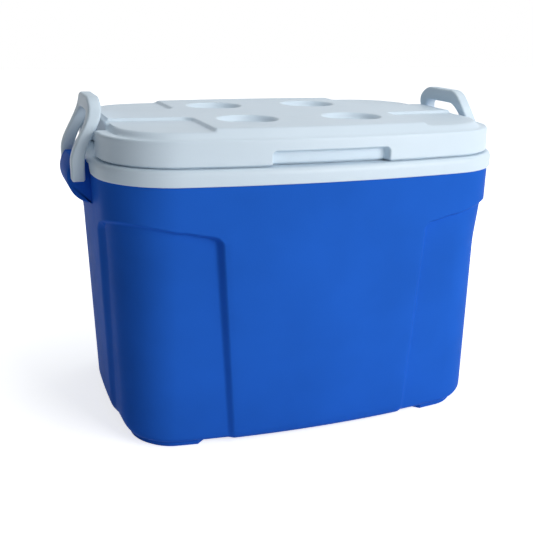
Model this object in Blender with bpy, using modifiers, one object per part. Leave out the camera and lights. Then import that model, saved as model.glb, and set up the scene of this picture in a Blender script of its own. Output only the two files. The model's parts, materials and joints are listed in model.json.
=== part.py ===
"""Insulated cooler chest with a lift-off lid and a bail handle at each end.

The origin is on the floor under the middle of the chest. +X is its right end, +Y its back.
Every outline is the collar's plan outline, moved in by an inset along its own normal.
"""

import math

import bmesh
import bpy
from mathutils import Matrix, Vector

# Plan outline of the collar, the widest ring of the chest
HALF_LENGTH = 0.2405
HALF_DEPTH = 0.1745
SIDE_BOW = 0.0243  # the long sides' curve falls back this much at the half length
END_BOW = 0.0096  # the end walls' curve falls back this much at the half depth
CORNER_RADIUS = 0.533 * HALF_DEPTH
CORNER_STEPS = 5
CLEARANCE = 0.0003  # between mouldings that touch
RIM_HEIGHT = 0.3177  # floor to the flat rim that the lid sits on

# Outer shell
SHELL_WALL = 0.0030
SIDE_DRAFT = math.radians(1.6)
END_DRAFT = math.radians(2.3)
CORNER_TIGHTENING = 0.1770  # the corner's radius shrinks by this share of the drop from the rim
BASE_RADIUS = 0.0090  # of the edge under the panels
COLUMN_BASE_RADIUS = 0.0150
FOOT_HEIGHT = 0.0085
FOOT_INSET = 0.0040
FOOT_EDGE = 0.0020
FOOT_SINK = 0.8  # share of the shell's floor that the foot pad runs into
FOOT_START_X = 0.1345  # the foot pad begins here on the long side
FOOT_START_Y = 0.0800  # and here on the end wall
COLUMN_DEPTH = 0.0087  # corner columns lie this far behind the centre panels
COLUMN_STEP = 0.0080  # height of the sloped step over a column
COLUMN_TOP_DROP = 0.0480  # collar's lower edge to the top of the column, at the panel
COLUMN_RISE = 0.0125  # the column's top climbs this much towards the corner
STEP_CLIMB = 0.1  # share of that climb at the side panel's step
ROUND_CLIMB = 0.5  # at both ends of the corner's round
END_CLIMB = 0.4  # at the end panel's step
SIDE_PANEL_TOP = 0.1250  # half width of the long side's panel
SIDE_PANEL_BOTTOM = 0.1085
SIDE_STEP = 0.0060  # run of the step from the panel down to the column
END_PANEL_TOP = 0.287 * HALF_DEPTH
END_PANEL_BOTTOM = 0.241 * HALF_DEPTH
END_STEP = 0.126 * HALF_DEPTH

# Ears on the end walls
EAR_HALF_WIDTH = 0.0392
EAR_RADIUS = 0.0300
EAR_CENTRE_DROP = 0.0252  # rim to the middle of the ear's round
EAR_CENTRE_INSET = 0.0085
EAR_TOP_DROP = 0.0060
EAR_TAIL_DROP = 0.0650  # rim to where the ear runs out into the wall
EAR_ARC_STEPS = 9

# Inner liner with its rolled rim, the collar
LINER_WALL = 0.0025
LINER_DRAFT = math.radians(2.5)
MOUTH_INSET = 0.0300  # collar outline to the inside of the liner's mouth
MOUTH_ROUND = 0.0020
LINER_RADIUS = 0.0120
FLOOR_THICKNESS = 0.0280  # underside of the shell to the inside floor
COLLAR_HEIGHT = 0.0179
COLLAR_ROUND = 0.0050
COLLAR_ROUND_HEIGHT = 0.0070
COLLAR_LIP = 0.0015

# Lid
LID_SEAM = 0.0019  # open line between collar and lid
LID_INSET = 0.0035
LID_WALL = 0.0030
LID_SIDE_HEIGHT = 0.0265
LID_SIDE_LEAN = 0.0008
LID_EDGE = 0.0015
LID_CROWN = 0.0113  # shoulder to the top
CROWN_EDGE = 0.0015
CROWN_SIDE_INSET = 0.0250
CROWN_END_INSET = 0.0235
SHOULDER_SIDE_INSET = 0.0065
SHOULDER_END_INSET = 0.0180
POCKET_DEPTH = 0.0037  # the lid's corners lie this much below its top
POCKET_X = 0.1230
POCKET_Y = 0.0430
POCKET_TAPER = 0.0080  # the tongue between two pockets narrows by this towards the end
POCKET_ROUND = 0.0120
POCKET_ROUND_STEPS = 4
POCKET_SLOPE = 0.0030
CUP_RADIUS = 0.0320
CUP_EDGE = 0.0025
CUP_DEPTH = 0.0070
CUP_SPACING_X = 0.1284
CUP_SPACING_Y = 0.1360
CUP_STEPS = 28
GRIP_HALF_LENGTH = 0.0675
GRIP_HEIGHT = 0.0145
GRIP_DEPTH = 0.0100
GRIP_ROUND = 0.0050
NOTCH_GAP = 0.0020  # lid to handle, at the lid's end notches
NOTCH_ROUND = 0.0060
PLUG_DEPTH = 0.0160  # the lid's plug reaches this far below the rim
PLUG_GAP = 0.0030

# Foam filling plugs
FILL_HOLE_RADIUS = 0.0120
FILL_HEAD_RADIUS = 0.0160
FILL_HEAD_HEIGHT = 0.0025
FILL_STEPS = 24

# Bail handles
HANDLE_LEG = 0.0150
HANDLE_THICKNESS = 0.0145
HANDLE_TOP_THICKNESS = 0.0140
HANDLE_BAR = 0.0165
HANDLE_HEIGHT = 0.0890
HANDLE_BELOW_PIVOT = 0.0080
HANDLE_OUTER_ROUND = 0.0240
HANDLE_INNER_ROUND = 0.0120
HANDLE_ROUND_STEPS = 6
HANDLE_EDGE = 0.0020
HANDLE_LEAN = 0.0216  # the grip bar stands this far inboard of the legs
LEAN_START = 0.0120  # above the pivot
LEAN_END = 0.0720
LEAN_STEPS = 9
PIVOT_OUT = 0.0115  # pivot outside the collar's end
PIVOT_DROP = 0.0192  # pivot below the rim
TRUNNION_RADIUS = 0.0045
TRUNNION_LENGTH = 0.0060
TRUNNION_STEPS = 20

# Heights that follow from the sizes above
COLLAR_BOTTOM_Z = RIM_HEIGHT - COLLAR_HEIGHT
CHANNEL_Z = RIM_HEIGHT - COLLAR_ROUND_HEIGHT - CLEARANCE
SHELL_RIM_Z = CHANNEL_Z - CLEARANCE
FLANGE_Z = RIM_HEIGHT - LINER_WALL
LINER_FLOOR_Z = FOOT_HEIGHT + FLOOR_THICKNESS
COLUMN_TOP_Z = COLLAR_BOTTOM_Z - COLUMN_TOP_DROP
LID_BOTTOM_Z = RIM_HEIGHT + LID_SEAM
SHOULDER_Z = LID_BOTTOM_Z + LID_SIDE_HEIGHT
LID_TOP_Z = SHOULDER_Z + LID_CROWN
POCKET_Z = LID_TOP_Z - POCKET_DEPTH
CUP_FLOOR_Z = LID_TOP_Z - CUP_DEPTH
CEILING_Z = POCKET_Z - LID_WALL
PANEL_BOTTOM_Z = RIM_HEIGHT + CLEARANCE
PANEL_TOP_Z = PANEL_BOTTOM_Z + LINER_WALL
PLUG_BOTTOM_Z = RIM_HEIGHT - PLUG_DEPTH
PIVOT_X = HALF_LENGTH + PIVOT_OUT
PIVOT_Z = RIM_HEIGHT - PIVOT_DROP
HANDLE_INNER_Y = EAR_HALF_WIDTH + CLEARANCE
HANDLE_OUTER_Y = HANDLE_INNER_Y + HANDLE_LEG
NOTCH_X = PIVOT_X - HANDLE_LEAN - HANDLE_TOP_THICKNESS / 2 - NOTCH_GAP
NOTCH_Y = HANDLE_OUTER_Y + NOTCH_GAP
PAST = 0.02  # cutters run past the surface that they cut
CONTACT_ROUNDS = 60  # rounds to find where a corner's round meets the sides
WELD = 0.00002  # points closer than this are one point
FLAT_ANGLE = math.radians(0.05)  # faces that meet at less than this are one face
SMOOTH_ANGLE = math.radians(30)
BEVEL_ANGLE = math.radians(50)
BEVEL_STEPS = 2
ROUND_STEPS = 3

BLUE = (0.010, 0.110, 0.560)
BLUE_ROUGHNESS = 0.42
WHITE = (0.720, 0.770, 0.820)
WHITE_ROUGHNESS = 0.40
FOAM = (0.830, 0.740, 0.520)
FOAM_ROUGHNESS = 0.90


def clear_scene():
    for item in list(bpy.data.objects):
        bpy.data.objects.remove(item, do_unlink=True)


def collection(name):
    group = bpy.data.collections.new(name)
    bpy.context.scene.collection.children.link(group)
    return group


def plastic(name, colour, roughness):
    material = bpy.data.materials.new(name)
    material.use_nodes = True
    shader = material.node_tree.nodes["Principled BSDF"]
    shader.inputs["Base Color"].default_value = (*colour, 1.0)
    shader.inputs["Roughness"].default_value = roughness
    shader.inputs["Metallic"].default_value = 0.0
    return material


# Plan outline


class Plan:
    """Rounded rectangle with bowed sides, taken in its +X +Y quarter."""

    def __init__(self, half_length, half_depth, radius):
        self.half_length = half_length
        self.half_depth = half_depth
        self.radius = radius
        self.side_contact = half_length - radius
        self.end_contact = half_depth - radius
        for _ in range(CONTACT_ROUNDS):
            side, side_normal = self.side(self.side_contact)
            end, end_normal = self.end(self.end_contact)
            self.side_contact = end.x + radius * (side_normal.x - end_normal.x)
            self.end_contact = side.y + radius * (end_normal.y - side_normal.y)

    def side(self, x):
        """Point and normal of the long side at x."""
        curve = SIDE_BOW / HALF_LENGTH**2
        return Vector((x, self.half_depth - curve * x * x)), Vector((2 * curve * x, 1)).normalized()

    def end(self, y):
        """Point and normal of the end wall at y."""
        curve = END_BOW / HALF_DEPTH**2
        return Vector((self.half_length - curve * y * y, y)), Vector((1, 2 * curve * y)).normalized()

    def corner(self):
        """Points and normals of the corner's round, from the long side to the end wall."""
        side, first = self.side(self.side_contact)
        last = self.end(self.end_contact)[1]
        centre = side - self.radius * first
        first_angle = math.atan2(first.y, first.x)
        last_angle = math.atan2(last.y, last.x)
        for step in range(1, CORNER_STEPS):
            angle = first_angle + (last_angle - first_angle) * step / CORNER_STEPS
            normal = Vector((math.cos(angle), math.sin(angle)))
            yield centre + self.radius * normal, normal

    def quarter(self, side_panel, end_panel):
        """Stations (point, normal) from the middle of the long side to the middle of the end."""
        xs = (0.0, side_panel / 2, side_panel, side_panel + SIDE_STEP, self.side_contact)
        ys = (self.end_contact, end_panel + END_STEP, end_panel, 0.0)
        return [self.side(x) for x in xs] + list(self.corner()) + [self.end(y) for y in ys]


COLLAR = Plan(HALF_LENGTH, HALF_DEPTH, CORNER_RADIUS)
CORNER_CLIMB = [
    ROUND_CLIMB + (1 - ROUND_CLIMB) * math.sin(math.pi * step / CORNER_STEPS)
    for step in range(1, CORNER_STEPS)
]
# For each station: whether it lies on a corner column, and how far the column's top climbs there
ON_COLUMN = [0, 0, 0, 1, 1] + [1] * len(CORNER_CLIMB) + [1, 1, 0, 0]
CLIMB = [0, 0, 0, STEP_CLIMB, ROUND_CLIMB] + CORNER_CLIMB + [ROUND_CLIMB, END_CLIMB, 0, 0]


def all_round(points):
    """Mirrors a quarter's points into the whole ring, in order and without repeats."""
    front_right = [Vector((p.x, -p.y, p.z)) for p in reversed(points[:-1])]
    front_left = [Vector((-p.x, -p.y, p.z)) for p in points[1:]]
    back_left = [Vector((-p.x, p.y, p.z)) for p in reversed(points[1:-1])]
    return points + front_right + front_left + back_left


def ring(z, side_inset, end_inset=None):
    """Closed ring at height z, moved in from the collar outline."""
    end_inset = side_inset if end_inset is None else end_inset
    points = []
    for point, normal in COLLAR.quarter(SIDE_PANEL_TOP, END_PANEL_TOP):
        inset = side_inset * normal.y**2 + end_inset * normal.x**2
        points.append((point - inset * normal).to_3d() + Vector((0, 0, z)))
    return all_round(points)


def shell_plan(z):
    """Outline of the shell's centre panels at height z."""
    drop = SHELL_RIM_Z - z
    step = LINER_WALL + CLEARANCE
    return Plan(
        HALF_LENGTH - step - drop * math.tan(END_DRAFT),
        HALF_DEPTH - step - drop * math.tan(SIDE_DRAFT),
        CORNER_RADIUS - step - drop * CORNER_TIGHTENING,
    )


def shell_stations(z):
    """Stations of the shell's quarter at height z, where the panels narrow towards the base."""
    up = min(1.0, max(0.0, (z - FOOT_HEIGHT) / (COLUMN_TOP_Z - FOOT_HEIGHT)))
    side_panel = SIDE_PANEL_BOTTOM + (SIDE_PANEL_TOP - SIDE_PANEL_BOTTOM) * up
    end_panel = END_PANEL_BOTTOM + (END_PANEL_TOP - END_PANEL_BOTTOM) * up
    return shell_plan(z).quarter(side_panel, end_panel)


def shell_ring(z, extra, column, rise=0.0):
    """Ring of the shell, with its corner columns set back by a share of their depth."""
    points = []
    for i, climb in enumerate(CLIMB):
        at_z = z + rise * climb
        point, normal = shell_stations(at_z)[i]
        inset = extra + COLUMN_DEPTH * ON_COLUMN[i] * column
        points.append((point - inset * normal).to_3d() + Vector((0, 0, at_z)))
    return all_round(points)


def shell_base(angle, extra, bottom_z):
    """Ring on the rounded edge under the shell, from its side (0) to its base (a right angle)."""
    points = []
    for i, on_column in enumerate(ON_COLUMN):
        radius = COLUMN_BASE_RADIUS if on_column else BASE_RADIUS
        top_z = FOOT_HEIGHT + radius
        z = top_z - (top_z - bottom_z) * math.sin(angle)
        point, normal = shell_stations(z)[i]
        inset = extra + COLUMN_DEPTH * on_column + radius * (1 - math.cos(angle))
        points.append((point - inset * normal).to_3d() + Vector((0, 0, z)))
    return all_round(points)


def shell_side(extra, bottom_z, round_steps):
    """Rings of the shell's side, from its base to its rim, moved in by an extra inset."""
    angles = [math.pi / 2 * (1 - step / round_steps) for step in range(round_steps + 1)]
    rings = [shell_base(angle, extra, bottom_z) for angle in angles]
    rings.append(shell_ring(COLUMN_TOP_Z - COLUMN_STEP, extra, 1.0, COLUMN_RISE))
    rings.append(shell_ring(COLUMN_TOP_Z, extra, 0.0, COLUMN_RISE))
    rings.append(shell_ring(SHELL_RIM_Z, extra, 0.0))
    return rings


def liner_inset(z):
    """Inset of the liner's inside face at height z."""
    return MOUTH_INSET + (RIM_HEIGHT - z) * math.tan(LINER_DRAFT)


def plug_inset(z):
    """Inset of the lid plug's outer face at height z."""
    return liner_inset(z) + PLUG_GAP


# Mesh helpers


def add_object(name, mesh, group, material=None):
    item = bpy.data.objects.new(name, mesh)
    group.objects.link(item)
    if material:
        mesh.materials.append(material)
    if group.name == "cutters":
        item.hide_render = True
        item.display_type = "WIRE"
    return item


def finish_mesh(name, body):
    bmesh.ops.recalc_face_normals(body, faces=body.faces)
    mesh = bpy.data.meshes.new(name)
    body.to_mesh(mesh)
    body.free()
    return mesh


def split_outward(a, b, c, d):
    """Two triangles of a four-cornered face, split on the diagonal that lies further out.

    Nested walls split alike, so they keep their gap where the face is twisted.
    """
    if (a.co + c.co).xy.length > (b.co + d.co).xy.length:
        return (a, b, c), (a, c, d)
    return (a, b, d), (b, c, d)


def loft(name, rings, group, material=None):
    """Closed body through rings of equal count, with a flat cap at each end."""
    body = bmesh.new()
    loops = [[body.verts.new(point) for point in points] for points in rings]
    count = len(loops[0])
    for lower, upper in zip(loops, loops[1:]):
        for i in range(count):
            j = (i + 1) % count
            for corners in split_outward(lower[i], lower[j], upper[j], upper[i]):
                body.faces.new(corners)
    body.faces.new(loops[0])
    body.faces.new(loops[-1])
    return add_object(name, finish_mesh(name, body), group, material)


def box(name, low, high, group, rounding=0.0, along=(1, 1, 1)):
    """Box cutter, with the edges along the chosen axes rounded."""
    body = bmesh.new()
    bmesh.ops.create_cube(body, size=1.0)
    size = Vector(high) - Vector(low)
    middle = (Vector(high) + Vector(low)) / 2
    bmesh.ops.scale(body, vec=size, verts=body.verts)
    if rounding > 0:
        edges = [e for e in body.edges if edge_axis(e) in [i for i in range(3) if along[i]]]
        bmesh.ops.bevel(
            body, geom=edges, offset=rounding, offset_type="OFFSET", segments=ROUND_STEPS, profile=0.5,
            affect="EDGES",
        )
    bmesh.ops.translate(body, vec=middle, verts=body.verts)
    return add_object(name, finish_mesh(name, body), group)


def edge_axis(edge):
    direction = edge.verts[1].co - edge.verts[0].co
    return max(range(3), key=lambda axis: abs(direction[axis]))


def cylinder(name, radius, steps, low, high, axis, group):
    """Cylinder along an axis (0 X, 1 Y, 2 Z) between two places on it, centred on the object."""
    body = bmesh.new()
    bmesh.ops.create_cone(
        body, cap_ends=True, segments=steps, radius1=radius, radius2=radius, depth=high - low
    )
    bmesh.ops.translate(body, vec=(0, 0, (low + high) / 2), verts=body.verts)
    turn = (Matrix.Rotation(math.pi / 2, 3, "Y"), Matrix.Rotation(-math.pi / 2, 3, "X"))
    if axis < 2:
        bmesh.ops.rotate(body, cent=(0, 0, 0), matrix=turn[axis], verts=body.verts)
    return add_object(name, finish_mesh(name, body), group)


def turned(name, profile, steps, group, material=None):
    """Turned body from a profile of (radius, z) that runs down its outer side."""
    mesh = bpy.data.meshes.new(name)
    points = [(radius, 0.0, z) for radius, z in profile]
    mesh.from_pydata(points, [(i, i + 1) for i in range(len(points) - 1)], [])
    item = add_object(name, mesh, group, material)
    screw = item.modifiers.new("turn", "SCREW")
    screw.axis = "Z"
    screw.angle = 2 * math.pi
    screw.steps = screw.render_steps = steps
    screw.use_merge_vertices = True
    screw.merge_threshold = WELD
    return item


def flat_plate(name, outline, half_thickness, group, material=None):
    """Mesh plate from a closed 2D outline, standing both sides of its own XY plane."""
    curve = bpy.data.curves.new(name, "CURVE")
    curve.dimensions = "2D"
    curve.fill_mode = "BOTH"
    curve.extrude = half_thickness
    spline = curve.splines.new("POLY")
    spline.points.add(len(outline) - 1)
    for point, place in zip(spline.points, outline):
        point.co = (*place, 0.0, 1.0)
    spline.use_cyclic_u = True
    drawn = bpy.data.objects.new(name, curve)
    group.objects.link(drawn)
    graph = bpy.context.evaluated_depsgraph_get()
    mesh = bpy.data.meshes.new_from_object(drawn.evaluated_get(graph))
    bpy.data.objects.remove(drawn, do_unlink=True)
    bpy.data.curves.remove(curve)
    body = bmesh.new()
    body.from_mesh(mesh)
    bpy.data.meshes.remove(mesh)
    bmesh.ops.remove_doubles(body, verts=body.verts, dist=WELD)
    bmesh.ops.dissolve_limit(body, angle_limit=FLAT_ANGLE, verts=body.verts, edges=body.edges)
    return add_object(name, finish_mesh(name, body), group, material)


def boolean(target, tool, operation="DIFFERENCE"):
    change = target.modifiers.new(tool.name, "BOOLEAN")
    change.operation = operation
    change.object = tool
    change.solver = "EXACT"


def arc(centre, radius, first_degrees, last_degrees, steps):
    """Points of an arc in a plane, both ends included."""
    for step in range(steps + 1):
        angle = math.radians(first_degrees + (last_degrees - first_degrees) * step / steps)
        yield centre[0] + radius * math.cos(angle), centre[1] + radius * math.sin(angle)


# Body


def make_outer_shell(parts, cutters, blue):
    outer = shell_side(0.0, FOOT_HEIGHT, ROUND_STEPS)
    inner = shell_side(SHELL_WALL, FOOT_HEIGHT + SHELL_WALL, 1)
    shell = loft("outer_shell", outer + inner[::-1], parts, blue)
    for sign in (1, -1):
        end = "right" if sign > 0 else "left"
        boolean(shell, make_ear(f"ear_{end}", sign, cutters), "UNION")
    for sign_x in (1, -1):
        for sign_y in (1, -1):
            foot = make_foot(f"foot_{sign_x}_{sign_y}", sign_x, sign_y, cutters)
            boolean(shell, foot, "UNION")
    for sign_x in (1, -1):
        for sign_y in (1, -1):
            boolean(shell, make_socket(f"socket_{sign_x}_{sign_y}", sign_x, sign_y, cutters))
    hole_top = FOOT_HEIGHT + SHELL_WALL + PAST
    hole = cylinder(
        "fill_hole", FILL_HOLE_RADIUS + CLEARANCE, FILL_STEPS, -PAST, hole_top, 2, cutters
    )
    boolean(shell, hole)
    return shell


def ear_outline():
    """Side view of an ear as (x, z): flat top, round nose and a tail that runs into the wall."""
    centre = (HALF_LENGTH - EAR_CENTRE_INSET, RIM_HEIGHT - EAR_CENTRE_DROP)
    top_z = RIM_HEIGHT - EAR_TOP_DROP
    tail_z = RIM_HEIGHT - EAR_TAIL_DROP
    tail_x = shell_plan(tail_z).half_length - SHELL_WALL / 2
    top_x = shell_plan(top_z).half_length - SHELL_WALL / 2
    start = math.degrees(math.asin((top_z - centre[1]) / EAR_RADIUS))
    reach = math.hypot(tail_x - centre[0], tail_z - centre[1])
    bearing = math.degrees(math.atan2(tail_z - centre[1], tail_x - centre[0]))
    tangent = bearing + math.degrees(math.acos(EAR_RADIUS / reach))
    nose = list(arc(centre, EAR_RADIUS, start, tangent, EAR_ARC_STEPS))
    return [(top_x, top_z), *nose, (tail_x, tail_z)]


def make_ear(name, sign, cutters):
    ear = flat_plate(name, ear_outline(), EAR_HALF_WIDTH, cutters)
    ear.rotation_euler = (math.pi / 2, 0.0, 0.0 if sign > 0 else math.pi)
    return ear


def make_foot(name, sign_x, sign_y, cutters):
    """Pad under a corner column, from the long side round to the end wall."""
    plan = shell_plan(FOOT_HEIGHT)
    path = [plan.side(FOOT_START_X), plan.side(plan.side_contact), *plan.corner()]
    path += [plan.end(plan.end_contact), plan.end(FOOT_START_Y)]
    rings = []
    top_z = FOOT_HEIGHT + FOOT_SINK * SHELL_WALL
    for z, edge in ((0.0, FOOT_EDGE), (FOOT_EDGE, 0.0), (top_z, 0.0)):
        inset = COLUMN_DEPTH + FOOT_INSET + edge
        outline = [point - inset * normal for point, normal in path]
        outline[0].x += edge
        outline[-1].y += edge
        outline.append(Vector((outline[0].x, outline[-1].y)))
        rings.append([Vector((sign_x * p.x, sign_y * p.y, z)) for p in outline])
    return loft(name, rings, cutters)


def make_socket(name, sign_x, sign_y, cutters):
    depth = TRUNNION_LENGTH + CLEARANCE
    socket = cylinder(
        name, TRUNNION_RADIUS + CLEARANCE, TRUNNION_STEPS,
        EAR_HALF_WIDTH - depth, EAR_HALF_WIDTH + PAST, 1, cutters,
    )
    socket.location = (sign_x * PIVOT_X, 0.0, PIVOT_Z)
    socket.rotation_euler = (0.0, 0.0, 0.0 if sign_y > 0 else math.pi)
    return socket


def make_body_insulation(parts, foam):
    gap = SHELL_WALL + CLEARANCE
    outer = shell_side(gap, FOOT_HEIGHT + gap, 1)
    top_z = FLANGE_Z - CLEARANCE
    floor_z = LINER_FLOOR_Z - LINER_WALL - CLEARANCE
    back = LINER_WALL + CLEARANCE
    rings = outer + [
        shell_ring(top_z, gap, 0.0),
        ring(top_z, liner_inset(top_z) - back),
        ring(floor_z + LINER_RADIUS, liner_inset(floor_z + LINER_RADIUS) - back),
        ring(floor_z, liner_inset(floor_z) - back + LINER_RADIUS / 2),
    ]
    return loft("body_insulation", rings, parts, foam)


def make_inner_liner(parts, cutters, white):
    floor_z = LINER_FLOOR_Z
    curve_z = floor_z + LINER_RADIUS
    mid = 1 - math.sqrt(0.5)
    under_z = floor_z - LINER_WALL
    under_curve_z = under_z + LINER_RADIUS
    inside = [
        ring(floor_z, liner_inset(floor_z) + LINER_RADIUS),
        ring(floor_z + LINER_RADIUS * mid, liner_inset(floor_z) + LINER_RADIUS * mid),
        ring(curve_z, liner_inset(curve_z)),
        ring(RIM_HEIGHT - MOUTH_ROUND, liner_inset(RIM_HEIGHT - MOUTH_ROUND)),
        ring(RIM_HEIGHT, MOUTH_INSET - MOUTH_ROUND),
    ]
    collar = [
        ring(RIM_HEIGHT, COLLAR_ROUND),
        ring(RIM_HEIGHT - COLLAR_ROUND_HEIGHT * mid, COLLAR_ROUND * mid),
        ring(RIM_HEIGHT - COLLAR_ROUND_HEIGHT, 0.0),
        ring(COLLAR_BOTTOM_Z + COLLAR_LIP, 0.0),
        ring(COLLAR_BOTTOM_Z, COLLAR_LIP),
        ring(COLLAR_BOTTOM_Z, LINER_WALL),
        ring(CHANNEL_Z, LINER_WALL),
        ring(FLANGE_Z, LINER_WALL + SHELL_WALL),
    ]
    outside = [
        ring(FLANGE_Z, liner_inset(FLANGE_Z) - LINER_WALL),
        ring(under_curve_z, liner_inset(under_curve_z) - LINER_WALL),
        ring(under_z, liner_inset(under_z) - LINER_WALL + LINER_RADIUS / 2),
    ]
    liner = loft("inner_liner", inside + collar + outside, parts, white)
    slot_y = EAR_HALF_WIDTH + CLEARANCE
    slot_x = shell_plan(SHELL_RIM_Z).half_length - SHELL_WALL / 2 - CLEARANCE
    slot_top = RIM_HEIGHT - EAR_TOP_DROP + CLEARANCE
    for sign in (1, -1):
        ends = sorted((sign * slot_x, sign * (HALF_LENGTH + PAST)))
        low = (ends[0], -slot_y, COLLAR_BOTTOM_Z - PAST)
        boolean(liner, box(f"ear_slot_{sign}", low, (ends[1], slot_y, slot_top), cutters))
    return liner


def fill_plug_profile(base_z, length):
    """Plug with its head under base_z and its stem reaching up by length."""
    under = base_z - CLEARANCE
    return [
        (0.0, base_z + length),
        (FILL_HOLE_RADIUS, base_z + length),
        (FILL_HOLE_RADIUS, under),
        (FILL_HEAD_RADIUS, under),
        (FILL_HEAD_RADIUS, under - FILL_HEAD_HEIGHT / 2),
        (FILL_HEAD_RADIUS - FILL_HEAD_HEIGHT / 2, under - FILL_HEAD_HEIGHT),
        (0.0, under - FILL_HEAD_HEIGHT),
    ]


# Lid


def lid_blocks(tag, grow, cutters):
    """Boxes for the grips and the end notches of the lid, grown by a wall or a clearance."""
    blocks = []
    grip_top = LID_BOTTOM_Z + GRIP_HEIGHT + grow
    grip_x = GRIP_HALF_LENGTH + grow
    grip_y = HALF_DEPTH - LID_INSET - GRIP_DEPTH - grow
    for sign in (1, -1):
        ends = sorted((sign * grip_y, sign * (HALF_DEPTH + PAST)))
        low = (-grip_x, ends[0], PLUG_BOTTOM_Z - PAST)
        high = (grip_x, ends[1], grip_top)
        blocks.append(box(f"grip_{tag}_{sign}", low, high, cutters, GRIP_ROUND, (0, 1, 0)))
    notch_x = NOTCH_X - grow
    notch_y = NOTCH_Y + grow
    for sign in (1, -1):
        ends = sorted((sign * notch_x, sign * (HALF_LENGTH + PAST)))
        low = (ends[0], -notch_y, PLUG_BOTTOM_Z - PAST)
        high = (ends[1], notch_y, LID_TOP_Z + PAST)
        blocks.append(box(f"notch_{tag}_{sign}", low, high, cutters, NOTCH_ROUND, (0, 0, 1)))
    return blocks


def cup_profile():
    """Can recess as (radius, z), from above the lid down to its floor."""
    return [
        (0.0, LID_TOP_Z + PAST),
        (CUP_RADIUS + CUP_EDGE, LID_TOP_Z + PAST),
        (CUP_RADIUS + CUP_EDGE, LID_TOP_Z),
        (CUP_RADIUS, LID_TOP_Z - CUP_EDGE),
        (CUP_RADIUS - CUP_EDGE, CUP_FLOOR_Z),
        (0.0, CUP_FLOOR_Z),
    ]


def cup_places():
    for sign_x in (1, -1):
        for sign_y in (1, -1):
            yield sign_x * CUP_SPACING_X / 2, sign_y * CUP_SPACING_Y / 2


def pocket_outline(grow):
    """Plan of one lowered corner of the lid, grown towards the middle of the lid."""
    x0 = POCKET_X - grow
    y0 = POCKET_Y - grow
    radius = POCKET_ROUND + grow
    far_x = HALF_LENGTH + PAST
    far_y = HALF_DEPTH + PAST
    centre = (x0 + radius, y0 + radius)
    inner = list(arc(centre, radius, 180, 270, POCKET_ROUND_STEPS))
    return [(x0, far_y), *inner, (far_x, y0 - POCKET_TAPER), (far_x, far_y)]


def make_pocket(name, sign_x, sign_y, cutters):
    rings = []
    for z, grow in ((POCKET_Z, 0.0), (LID_TOP_Z, POCKET_SLOPE), (LID_TOP_Z + PAST, POCKET_SLOPE)):
        rings.append([Vector((sign_x * x, sign_y * y, z)) for x, y in pocket_outline(grow)])
    return loft(name, rings, cutters)


def core_inset(gap):
    return LID_INSET + LID_SIDE_LEAN + LID_WALL + gap


def core_rings(gap):
    """Rings of the space inside the lid cover, shrunk by a gap."""
    side_top = CROWN_SIDE_INSET - LID_EDGE + gap
    end_top = CROWN_END_INSET + LID_WALL + gap
    return [
        ring(SHOULDER_Z - LID_WALL - gap, core_inset(gap)),
        ring(CEILING_Z - gap, side_top, end_top),
    ]


def cut_core(core, tag, gap, cutters):
    """Keeps the space inside the lid a wall away from its grips, notches and can recesses."""
    for block in lid_blocks(tag, LID_WALL + gap, cutters):
        boolean(core, block)
    for i, (x, y) in enumerate(cup_places()):
        under = cylinder(
            f"cup_under_{tag}_{i}", CUP_RADIUS + LID_WALL + gap, CUP_STEPS,
            CUP_FLOOR_Z - LID_WALL - gap, LID_TOP_Z, 2, cutters,
        )
        under.location = (x, y, 0.0)
        boolean(core, under)


def make_lid_top(parts, cutters, white):
    top_inset = LID_INSET + LID_SIDE_LEAN
    rings = [
        ring(LID_BOTTOM_Z, LID_INSET + LID_EDGE),
        ring(LID_BOTTOM_Z + LID_EDGE, LID_INSET),
        ring(SHOULDER_Z - LID_EDGE, top_inset),
        ring(SHOULDER_Z, top_inset + LID_EDGE),
        ring(SHOULDER_Z, SHOULDER_SIDE_INSET, SHOULDER_END_INSET),
        ring(
            LID_TOP_Z - CROWN_EDGE, CROWN_SIDE_INSET - 2 * CROWN_EDGE,
            CROWN_END_INSET - 2 * CROWN_EDGE,
        ),
        ring(LID_TOP_Z, CROWN_SIDE_INSET, CROWN_END_INSET),
    ]
    lid = loft("lid_top", rings, parts, white)
    core = loft("lid_core", [ring(LID_BOTTOM_Z - PAST, core_inset(0.0)), *core_rings(0.0)], cutters)
    cut_core(core, "core", 0.0, cutters)
    boolean(lid, core)
    for block in lid_blocks("lid", 0.0, cutters):
        boolean(lid, block)
    for sign_x in (1, -1):
        for sign_y in (1, -1):
            boolean(lid, make_pocket(f"pocket_{sign_x}_{sign_y}", sign_x, sign_y, cutters))
    for i, (x, y) in enumerate(cup_places()):
        cup = turned(f"cup_{i}", cup_profile(), CUP_STEPS, cutters)
        cup.location = (x, y, 0.0)
        boolean(lid, cup)
    return lid


def make_lid_insulation(parts, cutters, foam):
    low_z = PLUG_BOTTOM_Z + LINER_WALL + CLEARANCE
    step_z = PANEL_TOP_Z + CLEARANCE
    back = LINER_WALL + CLEARANCE
    rings = [
        ring(low_z, plug_inset(low_z) + back),
        ring(step_z, plug_inset(step_z) + back),
        ring(step_z, core_inset(CLEARANCE)),
        *core_rings(CLEARANCE),
    ]
    block = loft("lid_insulation", rings, parts, foam)
    cut_core(block, "foam", CLEARANCE, cutters)
    return block


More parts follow.
